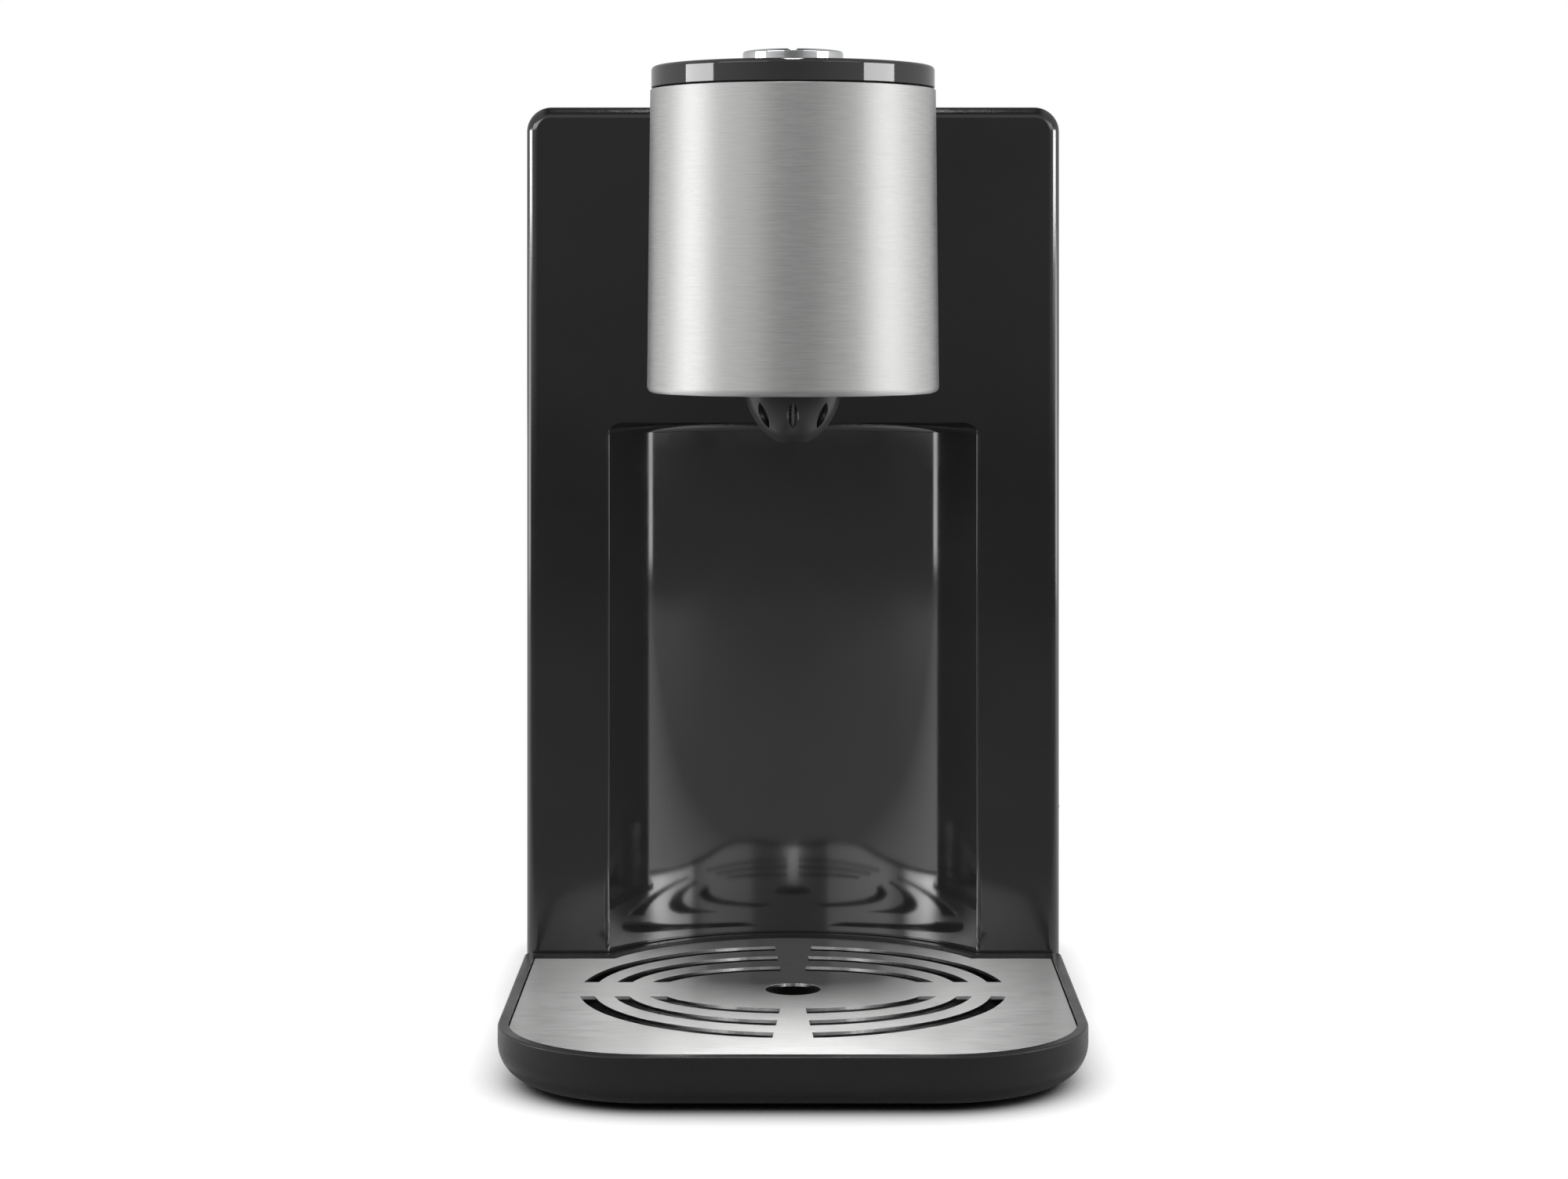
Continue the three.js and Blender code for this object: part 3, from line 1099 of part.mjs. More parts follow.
// The pump stands in the pocket between a side wall, the panel and the wall of the alcove.
const mountRadius = pump.headRadius + fit.seat + pumpMount.wall;
const mountReach = mountRadius + fit.running + body.wall;
const pumpX = mountReach - body.halfWidth;
const pumpAt = {
  x: pumpX,
  y: Math.max(mountReach, Math.sqrt((alcoveRadius + mountReach) ** 2 - pumpX ** 2) - alcoveCentre),
  bottom: baseTop + fit.seat + pumpMount.floor + fit.seat,
};
const pumpInlet = port(pumpAt.x, pumpAt.y + pump.headRadius,
  pumpAt.bottom + pumpMount.height + pump.inletRise, towards.rear, pump.barbLength);
const pumpOutlet = port(pumpAt.x, pumpAt.y + pump.headRadius,
  pumpAt.bottom + pumpMount.height + pump.outletRise, towards.rear, pump.barbLength);

function waterPump() {
  const headTop = pumpAt.bottom + pumpMount.height + pump.headHeight;
  const housing = rod(pumpAt.x, pumpAt.y, pump.headRadius, pumpAt.bottom, headTop, facetCount.inner);
  const motor = rod(pumpAt.x, pumpAt.y, pump.radius, headTop - pump.wallGap,
    pumpAt.bottom + pumpMount.height + pump.height, facetCount.inner);
  const ports = [pumpInlet, pumpOutlet];
  const barbs = ports.map((p) => barb(p, pump.barbRadius));
  const bores = ports.map((p) => bar(beyond(p, -pump.wallGap), beyond(p, fit.overrun), pump.barbBore,
    facetCount.fine));
  return cut(join(housing, motor, ...barbs), ...bores);
}

function rubberMount() {
  const bottom = baseTop + fit.seat;
  const outer = rod(pumpAt.x, pumpAt.y, mountRadius, bottom, pumpAt.bottom + pumpMount.height,
    facetCount.inner);
  return cut(outer, rod(pumpAt.x, pumpAt.y, pump.headRadius + fit.seat, pumpAt.bottom - fit.seat,
    pumpAt.bottom + fit.overrun, facetCount.inner));
}

const meterRear = coverFront - fit.seat;
const meterFront = meterRear - meter.depth;
const meterMiddle = (meterFront + meterRear) / 2;
const meterInlet = port(-meterX, meterMiddle, meter.height - meter.radius, towards.down,
  meter.barbLength);
const meterOutlet = port(-meterX, meterMiddle, meter.height + meter.radius, towards.up,
  meter.barbLength);

const meterDisc = (radius, front, rear) => bar(new THREE.Vector3(-meterX, front, meter.height),
  new THREE.Vector3(-meterX, rear, meter.height), radius, facetCount.inner);

function flowMeter() {
  const ports = [meterInlet, meterOutlet];
  const coverSeat = meterFront + meter.coverThickness + fit.seat;
  const shell = join(meterDisc(meter.radius, coverSeat, meterRear),
    ...ports.map((p) => barb(p, meter.barbRadius)));
  const chamber = meterDisc(meter.radius - meter.wall, coverSeat - fit.overrun, meterRear - meter.wall);
  const axle = meterDisc(meter.axleRadius, coverSeat + fit.seat, meterRear - meter.wall / 2);
  const bores = ports.map((p) => bar(beyond(p, -meter.wall - fit.running), beyond(p, fit.overrun),
    meter.barbBore, facetCount.fine));
  return join(cut(shell, chamber, ...bores), axle);
}

const meterCover = () => meterDisc(meter.radius, meterFront, meterFront + meter.coverThickness);

function flowImpeller() {
  const front = meterFront + meter.coverThickness + fit.running + fit.seat;
  const rear = meterRear - meter.wall - fit.running;
  const reach = meter.radius - meter.wall - meter.impellerGap;
  const blades = Array.from({ length: meter.bladeCount }, (_, i) => {
    const geometry = new THREE.BoxGeometry(reach, rear - front, meter.bladeThickness);
    geometry.translate(reach / 2, 0, 0);
    geometry.rotateY(fullTurn * i / meter.bladeCount);
    geometry.translate(-meterX, (front + rear) / 2, meter.height);
    return solidOf(geometry);
  });
  const hub = meterDisc(meter.impellerHub, front, rear);
  return cut(join(hub, ...blades), meterDisc(meter.axleRadius + fit.seat, front - fit.overrun,
    rear + fit.overrun));
}

const heaterBar = (radius, from, to) => bar(new THREE.Vector3(from, heaterBehind, heaterHeight),
  new THREE.Vector3(to, heaterBehind, heaterHeight), radius, facetCount.inner);
const heaterInletX = heater.halfLength - heater.inletInset;
const heaterOutletX = heater.halfLength - heater.outletInset;
const heaterInlet = port(-heaterInletX, heaterBehind, heaterHeight - heater.capRadius,
  towards.down, heater.barbLength);
const heaterOutlet = port(heaterOutletX, heaterBehind, heaterHeight + heater.radius,
  towards.up, heater.barbLength);

function flowHeater() {
  const half = heater.halfLength;
  const caps = [-1, 1].map(
    (side) => heaterBar(heater.capRadius, side * (half - heater.capLength), side * half));
  const ports = [heaterInlet, heaterOutlet];
  const barbs = ports.map((p) => barb(p, heater.barbRadius));
  const bores = ports.map((p) => bar(beyond(p, -hose.lead), beyond(p, fit.overrun), heater.barbBore,
    facetCount.fine));
  return cut(join(heaterBar(heater.radius, -half, half), ...caps, ...barbs), ...bores);
}

// A strap round the heater, with its foot on the rear cover
function heaterStrap(x) {
  const inner = heater.radius + fit.seat;
  const ringPart = heaterBar(inner + strap.thickness, x - strap.width / 2, x + strap.width / 2);
  const tab = box(x - strap.width / 2, x + strap.width / 2, heaterBehind, coverFront - fit.seat,
    heaterHeight - strap.tabWidth / 2, heaterHeight + strap.tabWidth / 2);
  return cut(join(ringPart, tab), heaterBar(inner, x - strap.width, x + strap.width));
}

// Thermal fuse lying along the top of the heater, in front of the outlet
function thermalFuse() {
  const z = heaterHeight + heater.radius + fit.seat + fuse.radius;
  const line = (radius, half) => bar(new THREE.Vector3(fuse.x - half, heaterBehind, z),
    new THREE.Vector3(fuse.x + half, heaterBehind, z), radius, facetCount.fine);
  return join(line(fuse.radius, fuse.halfLength), line(fuse.leadRadius, fuse.leadReach));
}

// Power board on the stands of the rear cover

const boardRear = coverFront - board.standOff;
const boardFront = boardRear - board.thickness;
const standHeights = [board.bottom + board.standInset, board.top - board.standInset];
const boardStands = [-1, 1].flatMap((side) => standHeights.map(
  (z) => ({ x: side * (boardHalfWidth - board.standInset), z })));

function powerBoard() {
  const card = box(-boardHalfWidth, boardHalfWidth, boardFront, boardRear, board.bottom, board.top);
  const middle = (board.bottom + board.top) / 2;
  const inside = boardFront + board.thickness / 2;
  const block = (x, z, size) => box(x - size.halfWidth, x + size.halfWidth, boardFront - size.depth,
    inside, z, z + size.height);
  const quarter = boardHalfWidth / 2;
  const can = bar(new THREE.Vector3(quarter, boardFront - capacitor.depth, middle + quarter),
    new THREE.Vector3(quarter, inside, middle + quarter), capacitor.radius, facetCount.small);
  return join(card, can,
    block(-quarter, middle - quarter, transformer),
    block(quarter, board.bottom + board.standInset, relay),
    block(-quarter, middle + quarter - relay.height / 2, relay));
}

// Hoses and cable

function hoseDockToPump() {
  const low = baseTop + fit.seat + hose.radius + fit.running;
  return hoseBetween(dockPort, pumpInlet, [
    new THREE.Vector3(outletMiddle.x - hose.lead, coverBack + hose.lead, low),
    new THREE.Vector3(outletMiddle.x - cover.windowHalfWidth + hose.lead, coverFront - hose.lead, low),
    new THREE.Vector3(pumpAt.x + pump.headRadius + hose.lead, coverFront - hose.lead - hose.radius,
      (low + pumpInlet.at.z) / 2),
  ], stepCount.longHose);
}

function hosePumpToMeter() {
  const rise = (pumpOutlet.at.z + meterInlet.at.z) / 2;
  return hoseBetween(pumpOutlet, meterInlet, [
    new THREE.Vector3((pumpAt.x - meterX) / 2, meterMiddle, rise),
  ], stepCount.shortHose);
}

function hoseMeterToHeater() {
  return hoseBetween(meterOutlet, heaterInlet, [
    meterOutlet.at.clone().add(heaterInlet.at).divideScalar(2),
  ], stepCount.shortHose);
}

function hoseHeaterToNozzle() {
  const high = passageTop - hose.radius - fit.running - fit.running;
  return hoseBetween(heaterOutlet, nozzlePort, [
    new THREE.Vector3(passageHalfWidth, heaterBehind / 2, high),
    new THREE.Vector3(passageHalfWidth * hose.neckShare, -hose.lead, high - hose.radius),
    new THREE.Vector3(0, hose.lead + hose.radius - headAxis, high - hose.lead),
  ], stepCount.topHose);
}

// Cable from the power board up behind the alcove, forward between its ceiling and the heater,
// and through the neck to the control board
function boardCable() {
  const x = -passageHalfWidth + hose.radius;
  const start = new THREE.Vector3(x, boardFront - cable.radius - fit.seat, board.top - board.standInset);
  const end = new THREE.Vector3(x, -headAxis + controlBoard.rearCut / 2,
    controlBoardTop - controlBoard.thickness - fit.seat);
  const heaterFront = heaterBehind - heater.capRadius;
  const gapMiddle = (alcoveTop + body.wall + heaterHeight - heater.capRadius) / 2;
  return tubeThrough([
    start,
    new THREE.Vector3(x, start.y, alcoveTop),
    new THREE.Vector3(x, heaterBehind, gapMiddle),
    new THREE.Vector3(x, heaterFront, gapMiddle),
    new THREE.Vector3(x, body.wall + cable.lead, passageBottom),
    new THREE.Vector3(x, body.wall, passageBottom + cable.lead + cable.lead),
    new THREE.Vector3(x, end.y, end.z - cable.lead),
    end,
  ], cable.radius, stepCount.cable, facetCount.fine);
}

// Finishes

const finish = (color, roughness, metalness) => new THREE.MeshStandardMaterial({
  color, roughness, metalness,
});
const glossBlack = () => finish(0x151516, 0.12, 0);
const satinBlack = () => finish(0x202021, 0.45, 0);
const brushedSteel = () => finish(0xb4b4b2, 0.35, 1);
const chrome = () => finish(0xd6d8da, 0.06, 1);
const spoutGrey = () => finish(0x3a3b3d, 0.4, 0);
const smoke = () => {
  const tinted = finish(0x3b4044, 0.08, 0);
  tinted.transparent = true;
  tinted.opacity = 0.5;
  return tinted;
};
const rubber = () => finish(0x1c1c1c, 0.8, 0);
const silicone = () => finish(0xd9d6cc, 0.5, 0);
const naturalPlastic = () => finish(0xd8d5cb, 0.5, 0);
const plainSteel = () => finish(0x9a9c9e, 0.3, 1);
const circuitGreen = () => finish(0x1d4b2c, 0.5, 0);

// Assembly

const machine = new THREE.Group();

function addPiece(name, solid, material) {
  const mesh = new THREE.Mesh(geometryOf(solid), material);
  mesh.name = name;
  machine.add(mesh);
}

addPiece('front_housing', frontHousing(), glossBlack());
addPiece('rear_cover', rearCover(), satinBlack());
addPiece('base_plate', basePlate(), satinBlack());
for (const { side, x, y } of footPlaces) {
  addPiece(`foot_${side}`, rubberFoot(x, y), rubber());
}
coverScrewPlaces.forEach(({ x, z }, i) => {
  addPiece(`rear_screw_${i + 1}`, panScrew(new THREE.Vector3(x, coverBack, z),
    towards.front, screw.length), plainSteel());
});
baseScrewPlaces.forEach(({ x, y }, i) => {
  addPiece(`base_screw_${i + 1}`, panScrew(new THREE.Vector3(x, y, foot.proud), towards.up,
    screw.length), plainSteel());
});
[-neckScrewX, neckScrewX].forEach((x, i) => {
  addPiece(`neck_screw_${i + 1}`, panScrew(new THREE.Vector3(x, body.wall + screw.headHeight, neckMiddle),
    towards.front, neckScrew.length), plainSteel());
});
addPiece('drip_tray', dripTray(), satinBlack());
addPiece('drip_grate', dripGrate(), brushedSteel());
addPiece('head_sleeve', headSleeve(), brushedSteel());
addPiece('head_carrier', headCarrier(), satinBlack());
addPiece('head_bottom', headBottom(), satinBlack());
addPiece('spout_shroud', spoutShroud(), spoutGrey());
addPiece('nozzle', outletNozzle(), plainSteel());
addPiece('nozzle_seal', pipe(0, -headAxis, nozzleSeal.innerRadius, nozzleSeal.outerRadius,
  spoutFlangeTop + fit.seat, nozzleSealTop, facetCount.small), rubber());
addPiece('control_ring', controlRing(), glossBlack());
addPiece('knob', turningKnob(), chrome());
addPiece('encoder_shaft', encoderShaft(), plainSteel());
addPiece('encoder_plunger', encoderPlunger(), naturalPlastic());
addPiece('encoder_body', encoderBody(), satinBlack());
addPiece('knob_spring', coilSpring(0, -headAxis, knobSpring.radius, knobSpring.wire,
  knobSpring.turns, deckTop + knob.travel + fit.seat, hubBottom - fit.seat), plainSteel());
addPiece('control_board', controlCircuit(), circuitGreen());
addPiece('power_switch', switchBody(), satinBlack());
addPiece('power_rocker', rockerCap(), glossBlack());
addPiece('water_tank', waterTank(), smoke());
addPiece('tank_lid', tankLid(), satinBlack());
addPiece('lid_pin', lidPin(), plainSteel());
addPiece('valve_cap', valveCap(), naturalPlastic());
addPiece('valve_plunger', valvePlunger(), naturalPlastic());
addPiece('valve_seal', valveRing(), silicone());
addPiece('valve_spring', valveCoil(), plainSteel());
addPiece('tank_strainer', tankStrainer(), naturalPlastic());
addPiece('tank_dock', tankDock(), satinBlack());
addPiece('dock_seal', dockLip(), rubber());
addPiece('cord_grommet', cordGrommet(), rubber());
addPiece('pump', waterPump(), satinBlack());
addPiece('pump_mount', rubberMount(), rubber());
addPiece('flow_meter', flowMeter(), naturalPlastic());
addPiece('flow_meter_cover', meterCover(), naturalPlastic());
addPiece('flow_impeller', flowImpeller(), satinBlack());
addPiece('heater', flowHeater(), plainSteel());
addPiece('heater_strap_left', heaterStrap(-strap.x), plainSteel());
addPiece('heater_strap_right', heaterStrap(strap.x), plainSteel());
addPiece('thermal_fuse', thermalFuse(), naturalPlastic());
addPiece('power_board', powerBoard(), circuitGreen());
addPiece('hose_dock_to_pump', hoseDockToPump(), silicone());
addPiece('hose_pump_to_meter', hosePumpToMeter(), silicone());
addPiece('hose_meter_to_heater', hoseMeterToHeater(), silicone());
addPiece('hose_heater_to_nozzle', hoseHeaterToNozzle(), silicone());
addPiece('board_cable', boardCable(), rubber());

// The origin is the middle of the footprint: the tray reaches furthest forward and left,
// the tank furthest back, and the raised end of the rocker furthest right.
machine.position.set((trayHalfWidth - rockerReach) / 2, (tray.reach - rearDepth) / 2, 0);

export default machine;
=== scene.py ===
# Studio scene of the countertop hot water dispenser.
# The object's lengths are millimetres from the middle of the housing (x), the plane of its front panel
# (y) and the table (z). point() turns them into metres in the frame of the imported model. The floor, the
# lamps and the camera are placed in metres in that frame.

import math
from types import SimpleNamespace

import bmesh
import bpy
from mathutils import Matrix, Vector

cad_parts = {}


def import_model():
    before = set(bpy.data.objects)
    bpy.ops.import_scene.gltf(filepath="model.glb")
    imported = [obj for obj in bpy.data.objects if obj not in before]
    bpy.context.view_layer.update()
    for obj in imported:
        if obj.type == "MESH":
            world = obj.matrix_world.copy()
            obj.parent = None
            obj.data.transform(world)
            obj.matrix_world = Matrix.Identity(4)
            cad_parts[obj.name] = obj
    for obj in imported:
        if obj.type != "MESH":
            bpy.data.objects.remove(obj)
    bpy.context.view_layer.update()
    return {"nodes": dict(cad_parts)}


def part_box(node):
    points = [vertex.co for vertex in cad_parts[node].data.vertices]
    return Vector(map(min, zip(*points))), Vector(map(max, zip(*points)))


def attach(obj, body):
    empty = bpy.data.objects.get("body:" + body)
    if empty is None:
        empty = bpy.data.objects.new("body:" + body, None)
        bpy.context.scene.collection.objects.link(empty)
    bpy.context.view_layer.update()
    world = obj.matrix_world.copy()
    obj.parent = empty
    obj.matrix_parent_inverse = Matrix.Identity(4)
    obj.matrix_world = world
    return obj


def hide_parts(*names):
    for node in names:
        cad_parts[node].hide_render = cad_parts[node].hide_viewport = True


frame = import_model()

HALF, FULL = math.pi, 2 * math.pi
QUARTER = math.pi / 2
# How far a cutting tool reaches past what it cuts
OVER = 30.0
# The gap round a piece that sits in another
FIT = 0.3


# Measures of the solids

housing_low, housing_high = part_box("front_housing")
OFFSET_X = round(1000 * (housing_low[0] + housing_high[0]) / 2, 4)
OFFSET_Y = round(1000 * housing_low[1], 4)


def point(x, y, z):
    return ((x + OFFSET_X) / 1000, (y + OFFSET_Y) / 1000, z / 1000)


def solid(node):
    """The sides of a solid at rest and its middle (x, y, z), in this script's own millimetres."""
    offsets = (OFFSET_X, OFFSET_Y, 0)
    low, high = ([round(1000 * value - offset, 2) for value, offset in zip(corner, offsets)]
                 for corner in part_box(node))
    x, y, z = ((a + b) / 2 for a, b in zip(low, high))
    return SimpleNamespace(left=low[0], right=high[0], front=low[1], rear=high[1], low=low[2],
                           high=high[2], x=x, y=y, z=z)


def span(node):
    return solid(node).low, solid(node).high


def solids(stem, endings):
    return {f"{stem}{ending}": solid(f"{stem}{ending}") for ending in endings}


BODY, DEPTH = solid("front_housing").right, solid("front_housing").rear
SHELL_LOW, HEIGHT = span("front_housing")
WALL = 2.5
CORNER = 8.0
EDGE_ROUND = 3.75
COVER_FRONT = DEPTH + FIT
COVER_BACK = solid("rear_screw_1").rear
BASE_LOW, BASE_TOP = span("base_plate")
FOOT_RADIUS = 7

tank_solid, dock_solid, pin_solid = solid("water_tank"), solid("tank_dock"), solid("lid_pin")
TANK_FRONT, REAR = tank_solid.front, tank_solid.rear
TANK_MIDDLE = tank_solid.y
DOCK_REAR, DOCK_TOP = dock_solid.rear, dock_solid.high
TANK_LOW = DOCK_TOP + FIT
HINGE_Y, HINGE_Z = pin_solid.y, pin_solid.z
TANK_TOP = HINGE_Z - FIT
RAIL_X = 55
HINGE_REACH, EAR_REACH = 38.5, 44.5
# The radius of the hinge and of the hole for its pin, and the room round the hinge
BARREL, PIN_HOLE, BARREL_ROOM = 2.2, 1.2, 2.7
# The room for the hose at the foot of the rear cover and of the dock
PASSAGE_HALF, PASSAGE_TOP = 36, 32.8

AXIS = solid("knob").y
HEAD_LOW, HEAD_TOP = span("head_sleeve")
HEAD_RADIUS = solid("head_sleeve").right
HEAD_RADIUS_TOP = HEAD_RADIUS - 1
RING_LOW, RING_TOP = span("control_ring")
RING_RADIUS = solid("control_ring").right
KNOB_LOW, KNOB_TOP = span("knob")
KNOB_RADIUS = solid("knob").right

tray_solid = solid("drip_tray")
TRAY_HALF, TRAY_REACH = tray_solid.right, -tray_solid.front
TRAY_LOW, TRAY_TOP = span("drip_tray")
GRATE_TOP = solid("drip_grate").high
LOBE_GAP = 0.5
ALCOVE_TOP, ALCOVE_DEPTH = 187.7, tray_solid.rear + LOBE_GAP
OPENING = 59.55
ALCOVE_RADIUS = (OPENING ** 2 + ALCOVE_DEPTH ** 2) / (2 * ALCOVE_DEPTH)
ALCOVE_CENTRE = ALCOVE_RADIUS - ALCOVE_DEPTH
LIP = 2.0

SWITCH_Y, SWITCH_Z = solid("power_switch").y, solid("power_switch").z
SWITCH_HALF, SWITCH_HALF_HEIGHT = 6.4, 9.4
CORD_X, CORD_Z = solid("cord_grommet").x, solid("cord_grommet").z

COVER_SCREWS = solids("rear_screw_", range(1, 5))
BASE_SCREWS = solids("base_screw_", range(1, 5))
# The radius of a screw's hole and of the sink for its head
SCREW_HOLE, SINK, SINK_DEPTH = 1.8, 3.3, 1.8
FEET = solids("foot_", ["front_left", "front_right", "rear_left", "rear_right"])


# Meshes

def mesh_object(name, points, faces):
    mesh = bpy.data.meshes.new(name)
    mesh.from_pydata([point(*p) for p in points], [], faces)
    obj = bpy.data.objects.new(name, mesh)
    bpy.context.scene.collection.objects.link(obj)
    bm = bmesh.new()
    bm.from_mesh(mesh)
    bmesh.ops.remove_doubles(bm, verts=bm.verts, dist=1e-7)
    bmesh.ops.dissolve_degenerate(bm, edges=bm.edges, dist=1e-8)
    bmesh.ops.recalc_face_normals(bm, faces=bm.faces)
    bm.to_mesh(mesh)
    bm.free()
    return obj


def skin(name, rings):
    """A closed skin over rings that all have the same number of points."""
    count = len(rings[0])
    points = [p for ring in rings for p in ring]
    faces = []
    for row in range(len(rings) - 1):
        for i in range(count):
            a, b = row * count + i, row * count + (i + 1) % count
            faces.append((a, b, b + count, a + count))
    faces.append(tuple(reversed(range(count))))
    last = (len(rings) - 1) * count
    faces.append(tuple(last + i for i in range(count)))
    return mesh_object(name, points, faces)


def turned(name, profile, x=0.0, y=AXIS, segments=160, axis="z"):
    """A closed profile of (radius, height) turned about an axis. x and y are the axis's two
    coordinates: (x, z) for one along y, and (y, z) for one along x."""
    points, faces = [], []
    count = len(profile)
    for i in range(segments):
        c, s = math.cos(FULL * i / segments), math.sin(FULL * i / segments)
        for r, h in profile:
            if axis == "z":
                points.append((x + r * c, y + r * s, h))
            elif axis == "y":
                points.append((x + r * c, h, y + r * s))
            else:
                points.append((h, x + r * c, y + r * s))
    for i in range(segments):
        nxt = (i + 1) % segments
        for j in range(count):
            k = (j + 1) % count
            faces.append((i * count + j, nxt * count + j, nxt * count + k, i * count + k))
    return mesh_object(name, points, faces)


def arc(x, y, radius, start, end, count):
    turns = [start + (end - start) * i / count for i in range(count + 1)]
    return [(x + radius * math.cos(turn), y + radius * math.sin(turn)) for turn in turns]


def rounding(radius, count=8):
    """Steps of a quarter round as (inset, rise), from the side up to the level."""
    turns = [QUARTER * i / count for i in range(count + 1)]
    return [(radius * (1 - math.cos(turn)), radius * math.sin(turn)) for turn in turns]


def level(outline, z):
    return [(x, y, z) for x, y in outline]


def prism(name, outline, low, high):
    return skin(name, [level(outline, z) for z in (low, high)])


def prism_back(name, outline, front, rear):
    """An outline of (x, z) carried from one depth to another."""
    return skin(name, [[(x, y, z) for x, z in outline] for y in (front, rear)])


def block(name, left, right, front, rear, low, high):
    outline = [(left, front), (right, front), (right, rear), (left, rear)]
    return prism(name, outline, low, high)


def switch_block(name, left, right, half, half_height):
    """A block with the power switch's middle."""
    return block(name, left, right, SWITCH_Y - half, SWITCH_Y + half, SWITCH_Z - half_height,
                 SWITCH_Z + half_height)


def rod(name, x, y, radius, low, high, segments, axis="z"):
    return turned(name, [(0, low), (radius, low), (radius, high), (0, high)], x, y, segments, axis)


def rounded_rectangle(left, right, front, rear, radii, count):
    a, b, c, d = radii
    return [*arc(left + a, front + a, a, HALF, HALF + QUARTER, count),
            *arc(right - b, front + b, b, -QUARTER, 0, count),
            *arc(right - c, rear - c, c, 0, QUARTER, count),
            *arc(left + d, rear - d, d, QUARTER, HALF, count)]


def settle(obj):
    """Applies the modifiers of a mesh."""
    graph = bpy.context.evaluated_depsgraph_get()
    mesh = bpy.data.meshes.new_from_object(obj.evaluated_get(graph))
    obj.modifiers.clear()
    old = obj.data
    obj.data = mesh
    bpy.data.meshes.remove(old)
    return obj


def combine(obj, operation, tools):
    for tool in tools:
        modifier = obj.modifiers.new("shape", "BOOLEAN")
        modifier.operation = operation
        modifier.solver = "MANIFOLD"
        modifier.object = tool
        bpy.context.view_layer.update()
        settle(obj)
        bpy.data.objects.remove(tool)
    return obj


def cut(obj, *tools):
    return combine(obj, "DIFFERENCE", tools)


def join(obj, *tools):
    return combine(obj, "UNION", tools)


def soften(obj, width, segments=2, angle=40):
    """Rounds the sharp edges by a small bevel."""
    bevel = obj.modifiers.new("edge", "BEVEL")
    bevel.width = width / 1000
    bevel.segments = segments
    bevel.limit_method = "ANGLE"
    bevel.angle_limit = math.radians(angle)
    bevel.use_clamp_overlap = True
    bevel.miter_outer = "MITER_ARC"
    return settle(obj)


def smooth(obj, angle=32):
    mesh = obj.data
    mesh.polygons.foreach_set("use_smooth", [True] * len(mesh.polygons))
    mesh.set_sharp_from_angle(angle=math.radians(angle))
    weighted = obj.modifiers.new("normals", "WEIGHTED_NORMAL")
    weighted.keep_sharp = True
    weighted.weight = 80
    return settle(obj)


def grain_map(obj):
    """A map whose first direction runs along x, for the grain of flat brushed steel."""
    mesh = obj.data
    layer = mesh.uv_layers.new(name="grain")
    for loop in mesh.loops:
        co = mesh.vertices[loop.vertex_index].co
        layer.data[loop.index].uv = (co.x * 10, co.y * 10 + co.z * 3)


# Nodes of materials

def new_material(name):
    material = bpy.data.materials.new(name)
    material.use_nodes = True
    tree = material.node_tree
    shader = next(n for n in tree.nodes if n.type == "BSDF_PRINCIPLED")
    return material, tree, shader


def noise(tree, scale, detail, roughness=0.5, stretch=None):
    where = tree.nodes.new("ShaderNodeTexCoord")
    texture = tree.nodes.new("ShaderNodeTexNoise")
    texture.inputs["Scale"].default_value = scale
    texture.inputs["Detail"].default_value = detail
    texture.inputs["Roughness"].default_value = roughness
    if stretch is None:
        tree.links.new(where.outputs["Object"], texture.inputs["Vector"])
    else:
        mapping = tree.nodes.new("ShaderNodeMapping")
        mapping.inputs["Scale"].default_value = stretch
        tree.links.new(where.outputs["Object"], mapping.inputs["Vector"])
        tree.links.new(mapping.outputs["Vector"], texture.inputs["Vector"])
    return texture.outputs["Fac"]


def spread(tree, value, low, high, start=0.3, end=0.7):
    """Maps start to end, by default a texture's middle range, onto low to high."""
    node = tree.nodes.new("ShaderNodeMapRange")
    node.inputs["From Min"].default_value = start
    node.inputs["From Max"].default_value = end
    node.inputs["To Min"].default_value = low
    node.inputs["To Max"].default_value = high
    tree.links.new(value, node.inputs["Value"])
    return node.outputs["Result"]


def tint(tree, value, dark, light, start=0.3, end=0.7):
    ramp = tree.nodes.new("ShaderNodeValToRGB")
    ramp.color_ramp.elements[0].position = start
    ramp.color_ramp.elements[0].color = (*dark, 1)
    ramp.color_ramp.elements[1].position = end
    ramp.color_ramp.elements[1].color = (*light, 1)
    tree.links.new(value, ramp.inputs["Fac"])
    return ramp.outputs["Color"]


def bump(tree, shader, value, depth, over=None):
    """Leads a bump to the shader, laid over another bump's normal where there is one."""
    node = tree.nodes.new("ShaderNodeBump")
    node.inputs["Distance"].default_value = depth
    tree.links.new(value, node.inputs["Height"])
    if over is not None:
        tree.links.new(over, node.inputs["Normal"])
    tree.links.new(node.outputs["Normal"], shader.inputs["Normal"])
    return node.outputs["Normal"]


def feed(tree, value, socket):
    """Leads another socket to this one, or sets this one to a constant."""
    if isinstance(value, bpy.types.NodeSocket):
        tree.links.new(value, socket)
    else:
        socket.default_value = value


def calculate(tree, operation, *values):
    node = tree.nodes.new("ShaderNodeMath")
    node.operation = operation
    for value, socket in zip(values, node.inputs):
        feed(tree, value, socket)
    return node.outputs["Value"]


def mix_shaders(tree, share, first, second):
    node = tree.nodes.new("ShaderNodeMixShader")
    for source, socket in zip((share, first, second), node.inputs):
        tree.links.new(source, socket)
    return node.outputs["Shader"]


def grey(value):
    return (value, value, value)


# Materials

